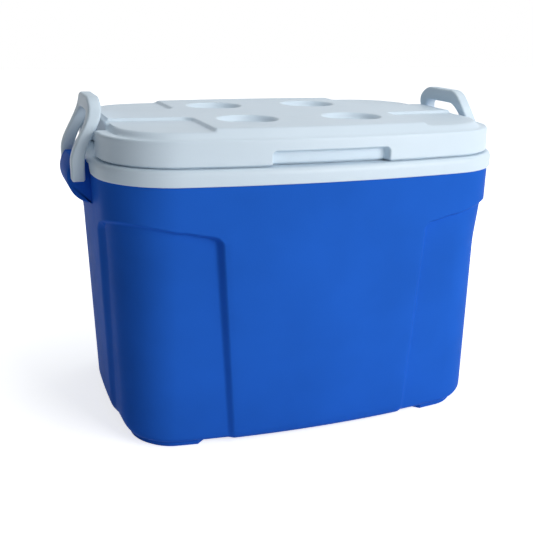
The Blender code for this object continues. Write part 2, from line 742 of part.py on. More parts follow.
def make_lid_inner_panel(parts, cutters, white):
    floor_z = PLUG_BOTTOM_Z + LINER_WALL
    rings = [
        ring(floor_z, plug_inset(floor_z) + LINER_WALL),
        ring(PANEL_TOP_Z, plug_inset(PANEL_TOP_Z) + LINER_WALL),
        ring(PANEL_TOP_Z, core_inset(CLEARANCE)),
        ring(PANEL_BOTTOM_Z, core_inset(CLEARANCE)),
        ring(PANEL_BOTTOM_Z, plug_inset(PANEL_BOTTOM_Z)),
        ring(PLUG_BOTTOM_Z + LINER_WALL / 2, plug_inset(PLUG_BOTTOM_Z)),
        ring(PLUG_BOTTOM_Z, plug_inset(PLUG_BOTTOM_Z) + LINER_WALL / 2),
    ]
    panel = loft("lid_inner_panel", rings, parts, white)
    for block in lid_blocks("panel", LID_WALL + CLEARANCE, cutters):
        boolean(panel, block)
    hole = cylinder(
        "lid_fill_hole", FILL_HOLE_RADIUS + CLEARANCE, FILL_STEPS,
        PLUG_BOTTOM_Z - PAST, floor_z + PAST, 2, cutters,
    )
    boolean(panel, hole)
    return panel


# Handles


def handle_outline():
    """Front view of a handle as (y, z) about its pivot: a bar on two legs."""
    top = HANDLE_HEIGHT - HANDLE_BELOW_PIVOT
    bar = top - HANDLE_BAR
    outer = HANDLE_OUTER_Y - HANDLE_OUTER_ROUND
    inner = HANDLE_INNER_Y - HANDLE_INNER_ROUND
    steps = HANDLE_ROUND_STEPS
    half = [
        (HANDLE_INNER_Y, -HANDLE_BELOW_PIVOT),
        (HANDLE_OUTER_Y, -HANDLE_BELOW_PIVOT),
        *arc((outer, top - HANDLE_OUTER_ROUND), HANDLE_OUTER_ROUND, 0, 90, steps),
    ]
    under = list(arc((inner, bar - HANDLE_INNER_ROUND), HANDLE_INNER_ROUND, 0, 90, steps))
    right = half
    left = [(-y, z) for y, z in reversed(half)]
    gap = [(-y, z) for y, z in under] + list(reversed(under))
    return right + left + gap


def lean_share(z):
    t = min(1.0, max(0.0, (z - LEAN_START) / (LEAN_END - LEAN_START)))
    return t * t * (3 - 2 * t)


def make_handle_mesh(parts, white):
    """Right-hand handle about its pivot: a flat bail, leaned inboard above the ear."""
    handle = flat_plate("handle_right", handle_outline(), HANDLE_THICKNESS / 2, parts, white)
    body = bmesh.new()
    body.from_mesh(handle.data)
    turn = Matrix(((0, 0, 1), (1, 0, 0), (0, 1, 0)))
    bmesh.ops.transform(body, matrix=turn.to_4x4(), verts=body.verts)
    for step in range(LEAN_STEPS + 1):
        level = LEAN_START + (LEAN_END - LEAN_START) * step / LEAN_STEPS
        bmesh.ops.bisect_plane(
            body, geom=body.verts[:] + body.edges[:] + body.faces[:], dist=WELD,
            plane_co=(0, 0, level), plane_no=(0, 0, 1),
        )
    for vert in body.verts:
        share = lean_share(vert.co.z)
        thin = 1 - share * (1 - HANDLE_TOP_THICKNESS / HANDLE_THICKNESS)
        vert.co.x = vert.co.x * thin - HANDLE_LEAN * share
    bmesh.ops.recalc_face_normals(body, faces=body.faces)
    body.to_mesh(handle.data)
    body.free()
    return handle


def soften(handle):
    bevel = handle.modifiers.new("soft_edges", "BEVEL")
    bevel.width = HANDLE_EDGE
    bevel.segments = BEVEL_STEPS
    bevel.limit_method = "ANGLE"
    bevel.angle_limit = BEVEL_ANGLE


def add_trunnions(handle, end, cutters):
    for sign in (1, -1):
        trunnion = cylinder(
            f"trunnion_{end}_{sign}", TRUNNION_RADIUS, TRUNNION_STEPS,
            HANDLE_INNER_Y - TRUNNION_LENGTH, HANDLE_INNER_Y + HANDLE_LEG / 2, 1, cutters,
        )
        trunnion.location = handle.location
        trunnion.rotation_euler = (0.0, 0.0, 0.0 if sign > 0 else math.pi)
        boolean(handle, trunnion, "UNION")


def make_handles(parts, cutters, white):
    right = make_handle_mesh(parts, white)
    right.location = (PIVOT_X, 0.0, PIVOT_Z)
    left = bpy.data.objects.new("handle_left", right.data)
    parts.objects.link(left)
    left.location = (-PIVOT_X, 0.0, PIVOT_Z)
    left.rotation_euler = (0.0, 0.0, math.pi)
    for handle, end in ((right, "right"), (left, "left")):
        soften(handle)
        add_trunnions(handle, end, cutters)


def smooth_all(parts):
    for item in parts.objects:
        if item.type == "MESH":
            item.data.shade_smooth()
            item.data.set_sharp_from_angle(angle=SMOOTH_ANGLE)


def main():
    clear_scene()
    parts = collection("cooler_chest")
    cutters = collection("cutters")
    blue = plastic("blue_shell_plastic", BLUE, BLUE_ROUGHNESS)
    white = plastic("white_plastic", WHITE, WHITE_ROUGHNESS)
    foam = plastic("insulation_foam", FOAM, FOAM_ROUGHNESS)

    make_outer_shell(parts, cutters, blue)
    make_body_insulation(parts, foam)
    make_inner_liner(parts, cutters, white)
    turned(
        "body_fill_plug", fill_plug_profile(FOOT_HEIGHT, SHELL_WALL), FILL_STEPS, parts, blue
    )

    lid = bpy.data.objects.new("lid", None)
    parts.objects.link(lid)
    lid_pieces = [
        make_lid_top(parts, cutters, white),
        make_lid_insulation(parts, cutters, foam),
        make_lid_inner_panel(parts, cutters, white),
        turned(
            "lid_fill_plug", fill_plug_profile(PLUG_BOTTOM_Z, LINER_WALL), FILL_STEPS, parts, white
        ),
    ]
    for piece in lid_pieces:
        piece.parent = lid
    make_handles(parts, cutters, white)
    smooth_all(parts)


main()
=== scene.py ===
"""Looks of the insulated cooler chest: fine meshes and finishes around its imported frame.

Sizes are in metres in the chest's own frame. The origin is on the floor under its middle, +X is
its right end and +Y its back. Outlines are worked out in the +X +Y quarter and mirrored.
"""

import json
import math

import bmesh
import bpy
import numpy as np
from bpy.props import FloatProperty, FloatVectorProperty, PointerProperty
from mathutils import Matrix, Vector
from mathutils.geometry import delaunay_2d_cdt


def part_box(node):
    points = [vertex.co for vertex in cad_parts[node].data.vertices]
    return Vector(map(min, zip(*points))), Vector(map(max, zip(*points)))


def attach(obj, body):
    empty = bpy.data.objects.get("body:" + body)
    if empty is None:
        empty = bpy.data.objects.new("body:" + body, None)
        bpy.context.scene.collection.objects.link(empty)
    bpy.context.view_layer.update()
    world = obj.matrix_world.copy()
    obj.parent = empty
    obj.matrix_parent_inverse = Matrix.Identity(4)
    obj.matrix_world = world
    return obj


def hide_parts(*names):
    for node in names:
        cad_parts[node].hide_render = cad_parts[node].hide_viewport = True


bl_info = {
    "name": "Cooler chest looks",
    "version": (1, 0, 0),
    "blender": (4, 5, 0),
    "location": "View3D > Sidebar > Cooler chest",
    "description": "Builds the visible mouldings of an insulated cooler chest around its frame",
    "category": "Object",
}

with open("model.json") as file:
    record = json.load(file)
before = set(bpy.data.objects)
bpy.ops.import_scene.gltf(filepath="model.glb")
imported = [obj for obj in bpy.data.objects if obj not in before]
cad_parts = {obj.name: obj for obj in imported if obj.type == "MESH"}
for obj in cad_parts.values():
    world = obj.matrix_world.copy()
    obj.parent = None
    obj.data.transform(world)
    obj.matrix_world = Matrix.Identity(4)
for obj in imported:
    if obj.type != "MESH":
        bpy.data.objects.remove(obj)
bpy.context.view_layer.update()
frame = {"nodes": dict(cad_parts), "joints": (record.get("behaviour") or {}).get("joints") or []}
_, LINER_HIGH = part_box("inner_liner")
LID_LOW, LID_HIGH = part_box("lid_top")
HANDLE_LOW, HANDLE_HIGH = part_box("handle_right")
_, PANEL_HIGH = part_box("lid_inner_panel")
PLUG_LOW, PLUG_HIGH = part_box("body_fill_plug")
PIVOT = next(j["pos_m"] for j in frame["joints"] if j["name"] == "handle_right_swing")

CLEARANCE = 0.0003
WELD = 0.00002
CONTACT_ROUNDS = 40
SHARP_ANGLE = math.radians(38)

# The photo's chest is a little slimmer than the solids
SLIMMER_SIDE = 0.0045
LOWER_TOP = 0.0012
HANDLE_SHIFT = 0.0020  # how far the handles stand inboard of their pegs

# Shell details
SHELL_WALL = 0.0030
SIDE_DRAFT = math.tan(math.radians(0.99))
END_DRAFT = math.tan(math.radians(2.18))
CORNER_TIGHTENING = 0.1311
BASE_HEIGHTS = (0.0158, 0.0091, 0.0120, 0.0190, 0.0170)  # panel, column, corner, column, end
BASE_RUNS = (0.0100, 0.0116, 0.0132, 0.0126, 0.0150)
FOOT_HEIGHT = 0.0065
FOOT_OUT = 0.0033
FOOT_EDGE = 0.0030
FOOT_END_ROUND = 0.0070
FOOT_SINK = 0.0020
FOOT_START = (0.1326, 0.0800)
# Sizes that run from the base to the top of the columns
COLUMN_SIDE_DEPTH = (0.0040, 0.0083)
COLUMN_END_DEPTH = (0.0030, 0.0064)
COLUMN_RADIUS = (0.0585, 0.0745)
SIDE_PANEL = (0.1031, 0.1173)
END_PANEL = (0.0445, 0.0560)
COLUMN_STEP = 0.0055
COLUMN_RISE = 0.0145
RECESS_ROUND = 0.0160
SCOOP = 0.46
SCOOP_HEIGHT = 0.0600
SIDE_STEP = 0.0085
END_STEP = 0.0200
SHELL_CELLS = (14, 9, 10, 26, 6, 14, 8)
EAR_RADIUS = 0.0300
EAR_CENTRE = (LINER_HIGH.x - 0.0095, LINER_HIGH.z - 0.0252)
EAR_TOP = LINER_HIGH.z - 0.0060
EAR_HALF_WIDTH = 0.0392
EAR_EDGE = 0.0020
SOCKET_RADIUS = 0.0048
SOCKET_DEPTH = 0.0063
FILL_HOLE = 0.0123

# Liner and collar details
LINER_WALL = 0.0025
LINER_DRAFT = math.tan(math.radians(2.5))
MOUTH_INSET = 0.0300
MOUTH_ROUND = 0.0025
LINER_ROUND = 0.0160
LINER_FLOOR = FOOT_HEIGHT + 0.0300
COLLAR_ROUND = (0.0050, 0.0070)
COLLAR_LIP = 0.0012
CUT_HALF_WIDTH = 0.0550
CUT_ROUND = 0.0080

# Lid details
LID_INSET = 0.0058
LID_WALL = 0.0030
LID_LEAN = 0.0008
LID_FOOT_ROUND = 0.0012
LID_TOP_ROUND = 0.0026
SHOULDER_INSET = (0.0088, 0.0200)
CROWN_INSET = (0.0265, 0.0255)
CROWN_SOFT = 0.10
CEILING_INSET = CROWN_INSET[0] + LID_INSET + LID_WALL
POCKET_X = 0.1219
POCKET_Y = 0.0430
POCKET_TAPER = 0.0577
POCKET_ROUND = 0.0120
POCKET_SLOPE = 0.0030
CUP_WALL = 0.0055
GRIP_ROUND = 0.0050
GRIP_SLOPE = 0.0022
NOTCH_GAP = 0.0020
NOTCH_ROUND = 0.0060
NOTCH_EDGE = 0.0046
PLUG_GAP = 0.0030
PLUG_DEPTH = 0.0160

# Stage
FLOOR_GLOW = 0.72
FLOOR_FADE = (0.35, 0.80)
WORLD_LIGHT = 0.16

# Handle details
HANDLE_OUTER_ROUND = 0.0320
HANDLE_INNER_ROUND = 0.0190
HANDLE_EDGE = 0.0028
LEAN_SPAN = (0.0120, 0.0720)
HANDLE_INNER_Y = EAR_HALF_WIDTH + CLEARANCE
PEG_RADIUS = 0.0045
PEG_LENGTH = 0.0060
RIB_PITCH = 0.0060
RIB_HEIGHT = 0.0005
RIB_HALF_SPAN = 0.0220


class ChestSizes(bpy.types.PropertyGroup):
    half_length: FloatProperty(
        name="Half length", description="Middle of the chest to the end of its collar",
        default=LINER_HIGH.x, unit="LENGTH", precision=4,
    )
    half_depth: FloatProperty(
        name="Half depth", description="Middle of the chest to the front of its collar",
        default=LINER_HIGH.y - SLIMMER_SIDE, unit="LENGTH", precision=4,
    )
    rim_height: FloatProperty(
        name="Rim height", description="Floor to the rim that the lid rests on",
        default=LINER_HIGH.z, unit="LENGTH", precision=4,
    )
    corner_radius: FloatProperty(
        name="Corner radius", description="Radius of the collar's corners in plan",
        default=0.0881, unit="LENGTH", precision=4,
    )
    side_bow: FloatProperty(
        name="Side bow", description="How far the long sides fall back at the half length",
        default=0.0237, unit="LENGTH", precision=4,
    )
    end_bow: FloatProperty(
        name="End bow", description="How far the end walls fall back at the half depth",
        default=0.0115, unit="LENGTH", precision=4,
    )
    collar_height: FloatProperty(
        name="Collar height", description="Height of the white collar under the lid",
        default=0.0173, unit="LENGTH", precision=4,
    )
    column_drop: FloatProperty(
        name="Column drop", description="Collar's lower edge to the top of the columns",
        default=0.0531, unit="LENGTH", precision=4,
    )


class LidSizes(bpy.types.PropertyGroup):
    bottom: FloatProperty(
        name="Lower edge", description="Floor to the lid's lower edge",
        default=LID_LOW.z, unit="LENGTH", precision=4,
    )
    top: FloatProperty(
        name="Top", description="Floor to the top of the lid",
        default=LID_HIGH.z - LOWER_TOP, unit="LENGTH", precision=4,
    )
    crown: FloatProperty(
        name="Crown", description="Lid's shoulder to its top",
        default=0.0100, unit="LENGTH", precision=4,
    )
    pocket_depth: FloatProperty(
        name="Lowered corners", description="How far the lid's corners lie below its top",
        default=0.0037, unit="LENGTH", precision=4,
    )
    cup_radius: FloatProperty(
        name="Can recess radius", description="Radius of a can recess half way down its wall",
        default=0.0320, unit="LENGTH", precision=4,
    )
    cup_depth: FloatProperty(
        name="Can recess depth", description="Depth of a can recess",
        default=0.0070, unit="LENGTH", precision=4,
    )
    cup_x: FloatProperty(
        name="Can recess X", description="Middle of the lid to the middle of a can recess, along X",
        default=0.0636, unit="LENGTH", precision=4,
    )
    cup_y: FloatProperty(
        name="Can recess Y", description="Middle of the lid to the middle of a can recess, along Y",
        default=0.0680, unit="LENGTH", precision=4,
    )
    grip_half_length: FloatProperty(
        name="Grip half length", description="Half the length of the finger grips",
        default=0.0672, unit="LENGTH", precision=4,
    )
    grip_height: FloatProperty(
        name="Grip height", description="Height of the finger grips",
        default=0.0145, unit="LENGTH", precision=4,
    )
    grip_depth: FloatProperty(
        name="Grip depth", description="How far the finger grips go in",
        default=0.0100, unit="LENGTH", precision=4,
    )


class HandleSizes(bpy.types.PropertyGroup):
    leg: FloatProperty(
        name="Leg width", description="Width of a handle's leg",
        default=0.0150, unit="LENGTH", precision=4,
    )
    thickness: FloatProperty(
        name="Thickness", description="Thickness of a handle at its legs",
        default=0.0145, unit="LENGTH", precision=4,
    )
    bar: FloatProperty(
        name="Bar height", description="Height of a handle's grip bar",
        default=0.0165, unit="LENGTH", precision=4,
    )
    bar_thickness: FloatProperty(
        name="Bar thickness", description="Thickness of a handle at its grip bar",
        default=0.0140, unit="LENGTH", precision=4,
    )
    lean: FloatProperty(
        name="Lean", description="How far the grip bar stands inboard of the legs",
        default=0.0216, unit="LENGTH", precision=4,
    )


class ChestColours(bpy.types.PropertyGroup):
    shell: FloatVectorProperty(
        name="Shell", description="Blue of the outer shell",
        default=(0.017, 0.119, 0.580), subtype="COLOR", min=0.0, max=1.0,
    )
    white: FloatVectorProperty(
        name="Lid and liner", description="White of the lid, the collar and the liner",
        default=(0.660, 0.770, 0.865), subtype="COLOR", min=0.0, max=1.0,
    )
    handle: FloatVectorProperty(
        name="Handles", description="White of the handles",
        default=(0.650, 0.760, 0.850), subtype="COLOR", min=0.0, max=1.0,
    )
    foam: FloatVectorProperty(
        name="Foam", description="Colour of the insulation inside the walls",
        default=(0.830, 0.740, 0.520), subtype="COLOR", min=0.0, max=1.0,
    )
    floor: FloatVectorProperty(
        name="Floor", description="Colour of the floor that the chest stands on",
        default=(0.900, 0.900, 0.900), subtype="COLOR", min=0.0, max=1.0,
    )


# Curves


def smooth(t):
    t = np.clip(t, 0.0, 1.0)
    return t * t * (3 - 2 * t)


def soft_ramp(t, soft):
    """Rises from 0 to 1 as t does, with both ends rounded over a width of soft."""
    rise = np.where(t < soft, (t + soft) ** 2 / (4 * soft), t)
    rise = np.where(t > 1 - soft, 1 - (1 + soft - t) ** 2 / (4 * soft), rise)
    return np.where(t < -soft, 0.0, np.where(t > 1 + soft, 1.0, rise))


def soft_min(a, b, reach):
    """Lesser of a and b, with the crease between them filled over a reach."""
    mix = np.clip(0.5 + 0.5 * (b - a) / reach, 0.0, 1.0)
    return b + (a - b) * mix - reach * mix * (1 - mix)


def rounded_reach(u, v, radius):
    """Distance inside a corner whose two sides are u and v away, where its tip is rounded."""
    a = np.clip(radius - u, 0.0, None)
    b = np.clip(radius - v, 0.0, None)
    return np.where((a > 0) & (b > 0), radius - np.hypot(a, b), np.minimum(u, v))


def spread(*stretches):
    """Values along stretches (start, end, cells), each joint given once."""
    parts = [np.linspace(start, end, cells, endpoint=False) for start, end, cells in stretches]
    return np.concatenate([*parts, [stretches[-1][1]]])


class Outline:
    """Rounded rectangle with bowed sides, in one quarter. Its sizes may be arrays."""

    def __init__(self, sizes, half_length, half_depth, radius):
        self.half_length = half_length
        self.half_depth = half_depth
        self.radius = radius
        self.side_curve = sizes.side_bow / sizes.half_length**2
        self.end_curve = sizes.end_bow / sizes.half_depth**2
        self.side_contact = half_length - radius
        self.end_contact = half_depth - radius
        for _ in range(CONTACT_ROUNDS):
            _, side_y, side_nx, side_ny = self.side(self.side_contact)
            end_x, _, end_nx, end_ny = self.end(self.end_contact)
            self.side_contact = end_x + radius * (side_nx - end_nx)
            self.end_contact = side_y + radius * (end_ny - side_ny)
        x, y, nx, ny = self.side(self.side_contact)
        self.first_angle = np.arctan2(ny, nx)
        self.centre = (x - radius * nx, y - radius * ny)
        _, _, nx, ny = self.end(self.end_contact)
        self.last_angle = np.arctan2(ny, nx)

    def side(self, x):
        slope = 2 * self.side_curve * x
        size = np.sqrt(slope * slope + 1)
        return x, self.half_depth - self.side_curve * x * x, slope / size, 1 / size

    def end(self, y):
        slope = 2 * self.end_curve * y
        size = np.sqrt(slope * slope + 1)
        return self.half_length - self.end_curve * y * y, y, 1 / size, slope / size

    def corner(self, share):
        angle = self.first_angle + (self.last_angle - self.first_angle) * share
        nx, ny = np.cos(angle), np.sin(angle)
        return self.centre[0] + self.radius * nx, self.centre[1] + self.radius * ny, nx, ny

    def quarter(self, xs, shares, ys):
        """Columns x, y, nx, ny of stations along the side, round the corner and down the end."""
        parts = [self.side(np.asarray(xs)), self.corner(np.asarray(shares)), self.end(np.asarray(ys))]
        return np.concatenate([np.stack(np.broadcast_arrays(*part)) for part in parts], axis=1)

    def inset(self, x, y):
        """Distance in from the outline, and the share of the end wall in its direction."""
        x, y = np.abs(x), np.abs(y)
        foot = np.array(x)
        for _ in range(8):
            miss = (foot - x) - 2 * self.side_curve * foot * (self.half_depth - self.side_curve * foot**2 - y)
            foot = foot - miss / (1 + 4 * (self.side_curve * foot) ** 2)
        _, side_y, nx, ny = self.side(foot)
        best = np.where(foot <= self.side_contact, (foot - x) * nx + (side_y - y) * ny, 1.0)
        share = nx**2
        foot = np.array(y)
        for _ in range(8):
            miss = (foot - y) - 2 * self.end_curve * foot * (self.half_length - self.end_curve * foot**2 - x)
            foot = foot - miss / (1 + 4 * (self.end_curve * foot) ** 2)
        end_x, _, nx, ny = self.end(foot)
        gap = np.where(foot <= self.end_contact, (end_x - x) * nx + (foot - y) * ny, 1.0)
        share = np.where(gap < best, nx**2, share)
        best = np.minimum(gap, best)
        dx, dy = x - self.centre[0], y - self.centre[1]
        angle = np.arctan2(dy, dx)
        gap = self.radius - np.hypot(dx, dy)
        inside = (angle <= self.first_angle) & (angle >= self.last_angle) & (gap < best)
        return np.where(inside, gap, best), np.where(inside, np.cos(angle) ** 2, share)


def collar_outline(sizes):
    return Outline(sizes, sizes.half_length, sizes.half_depth, sizes.corner_radius)


def all_round(points):
    """Mirrors rows of a quarter's points (row, station, 3) into whole rings, without repeats."""
    front_right = points[:, -2::-1] * (1, -1, 1)
    front_left = points[:, 1:] * (-1, -1, 1)
    back_left = points[:, -2:0:-1] * (-1, 1, 1)
    return np.concatenate([points, front_right, front_left, back_left], axis=1)


def inside_ring(point, ring):
    """Whether a plan point lies inside a closed ring of points."""
    x, y, _ = ring.T
    next_x, next_y = np.roll(x, -1), np.roll(y, -1)
    crossed = (y > point[1]) != (next_y > point[1])
    share = (point[1] - y[crossed]) / (next_y - y)[crossed]
    return np.sum(x[crossed] + share * (next_x - x)[crossed] > point[0]) % 2 == 1


# Meshes


def new_object(name, mesh, material=None):
    item = bpy.data.objects.new(name, mesh)
    bpy.context.scene.collection.objects.link(item)
    if material:
        mesh.materials.append(material)
    return item


def finish_body(name, body, material=None):
    bmesh.ops.remove_doubles(body, verts=body.verts, dist=WELD)
    bmesh.ops.recalc_face_normals(body, faces=body.faces)
    mesh = bpy.data.meshes.new(name)
    body.to_mesh(mesh)
    body.free()
    return new_object(name, mesh, material)


def ring_faces(rows, count):
    first = np.arange(rows - 1)[:, None] * count
    here = np.arange(count)[None, :]
    after = (here + 1) % count
    corners = [first + here, first + after, first + count + after, first + count + here]
    return np.stack(corners, -1).reshape(-1, 4).tolist()


def loft_body(rings, caps=(True, True)):
    """bmesh through rings (row, place, 3), with a flat cap at the first and the last."""
    rows, count, _ = rings.shape
    faces = ring_faces(rows, count)
    if caps[0]:
        faces.append(list(range(count)))
    if caps[1]:
        faces.append(list(range((rows - 1) * count, rows * count)))
    mesh = bpy.data.meshes.new("rings")
    mesh.from_pydata(rings.reshape(-1, 3).tolist(), [], faces)
    body = bmesh.new()
    body.from_mesh(mesh)
    bpy.data.meshes.remove(mesh)
    return body


def slab(name, outline, stations, material=None):
    """Closed plate in the XZ plane: the outline is moved in by an inset at each station (y, inset)."""
    outline = np.asarray(outline)
    along = np.roll(outline, -1, 0) - np.roll(outline, 1, 0)
    normal = np.stack([along[:, 1], -along[:, 0]], -1)
    normal /= np.linalg.norm(normal, axis=1)[:, None]
    area = np.sum(outline[:, 0] * np.roll(outline[:, 1], -1) - outline[:, 1] * np.roll(outline[:, 0], -1))
    if area < 0:
        normal = -normal
    rings = []
    for y, inset in stations:
        flat = outline - inset * normal
        rings.append(np.stack([flat[:, 0], np.full(len(flat), y), flat[:, 1]], -1))
    return finish_body(name, loft_body(np.array(rings)), material)


def round_edge(radius, steps):
    """Pairs (rise, inset) of a rounded edge, from the flat side to the end face."""
    angles = np.linspace(0.0, math.pi / 2, steps + 1)
    return [(radius * math.sin(a), radius * (1 - math.cos(a))) for a in angles]


def peg(name, radius, low, high, steps, turn=None):
    """Closed round peg along Z, turned by a matrix where one is given."""
    angles = (np.arange(steps) + 0.5) * 2 * math.pi / steps
    circle = np.stack([np.cos(angles) * radius, np.sin(angles) * radius, np.zeros(steps)], -1)
    body = loft_body(np.array([circle + (0, 0, low), circle + (0, 0, high)]))
    if turn is not None:
        bmesh.ops.transform(body, matrix=turn, verts=body.verts)
    return finish_body(name, body)


def cut(target, tools, operation):
    """Joins or cuts with the tools, applies the result and removes the tools."""
    for tool in tools:
        change = target.modifiers.new(tool.name, "BOOLEAN")
        change.operation = operation
        change.object = tool
        change.solver = "EXACT"
    graph = bpy.context.evaluated_depsgraph_get()
    mesh = bpy.data.meshes.new_from_object(target.evaluated_get(graph))
    body = bmesh.new()
    body.from_mesh(mesh)
    bmesh.ops.remove_doubles(body, verts=body.verts, dist=WELD)
    body.to_mesh(mesh)
    body.free()
    old = target.data
    target.modifiers.clear()
    target.data = mesh
    bpy.data.meshes.remove(old)
    for tool in tools:
        data = tool.data
        bpy.data.objects.remove(tool, do_unlink=True)
        bpy.data.meshes.remove(data)


def settle(item, name, body, nodes):
    """Smooths a piece, names it and ties it to the frame."""
    item.data.name = name
    item.data.shade_smooth()
    item.data.set_sharp_from_angle(angle=SHARP_ANGLE)
    if not len(item.data.polygons):
        raise RuntimeError(f"{name} came out empty")
    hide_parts(*nodes)
    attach(item, body)


# Finishes


def plastic(name, colour, roughness, grain, grain_size, speckle, shine=0.5):
    """Moulded plastic: a slightly uneven tint, a varied gloss and a fine pebbled grain."""
    material = bpy.data.materials.new(name)
    material.use_nodes = True
    nodes = material.node_tree.nodes
    links = material.node_tree.links
    shader = nodes["Principled BSDF"]
    shader.inputs["Specular IOR Level"].default_value = shine
    place = nodes.new("ShaderNodeTexCoord")

    def noise(scale, detail):
        node = nodes.new("ShaderNodeTexNoise")
        node.inputs["Scale"].default_value = scale
        node.inputs["Detail"].default_value = detail
        links.new(place.outputs["Object"], node.inputs["Vector"])
        return node

    cloud = noise(9.0, 3.0)
    tint = nodes.new("ShaderNodeValToRGB")
    tint.color_ramp.elements[0].position = 0.30
    tint.color_ramp.elements[1].position = 0.70
    tint.color_ramp.elements[0].color = (*(c * (1 - speckle) for c in colour), 1.0)
    tint.color_ramp.elements[1].color = (*(min(1.0, c * (1 + speckle)) for c in colour), 1.0)
    links.new(cloud.outputs["Fac"], tint.inputs["Fac"])
    links.new(tint.outputs["Color"], shader.inputs["Base Color"])

    rub = noise(60.0, 4.0)
    gloss = nodes.new("ShaderNodeMapRange")
    gloss.inputs["To Min"].default_value = roughness - 0.06
    gloss.inputs["To Max"].default_value = roughness + 0.08
    links.new(rub.outputs["Fac"], gloss.inputs["Value"])
    links.new(gloss.outputs["Result"], shader.inputs["Roughness"])

    pebble = nodes.new("ShaderNodeTexVoronoi")
    pebble.feature = "SMOOTH_F1"
    pebble.inputs["Scale"].default_value = 1.0 / grain_size
    links.new(place.outputs["Object"], pebble.inputs["Vector"])
    fine = noise(1.6 / grain_size, 2.0)
    height = nodes.new("ShaderNodeMath")
    height.operation = "MULTIPLY_ADD"
    height.inputs[1].default_value = 0.7
    links.new(pebble.outputs["Distance"], height.inputs[0])
    links.new(fine.outputs["Fac"], height.inputs[2])
    bump = nodes.new("ShaderNodeBump")
    bump.inputs["Strength"].default_value = grain
    bump.inputs["Distance"].default_value = grain_size * 0.25
    links.new(height.outputs["Value"], bump.inputs["Height"])
    links.new(bump.outputs["Normal"], shader.inputs["Normal"])
    return material


def foam_finish(name, colour):
    """Rigid foam: pale and matt, with small open cells."""
    return plastic(name, colour, 0.85, 0.6, 0.0020, 0.08)


def finish_once(name, make):
    return bpy.data.materials.get(name) or make()


def blue_finish(colours):
    return finish_once(
        "blue_shell_finish",
        lambda: plastic("blue_shell_finish", tuple(colours.shell), 0.48, 0.16, 0.0016, 0.07, 0.01),
    )


def white_finish(colours):
    return finish_once(
        "white_lid_finish",
        lambda: plastic("white_lid_finish", tuple(colours.white), 0.44, 0.20, 0.0014, 0.02),
    )


def handle_finish(colours):
    return finish_once(
        "white_handle_finish",
        lambda: plastic("white_handle_finish", tuple(colours.handle), 0.46, 0.20, 0.0012, 0.02),
    )


# Shell


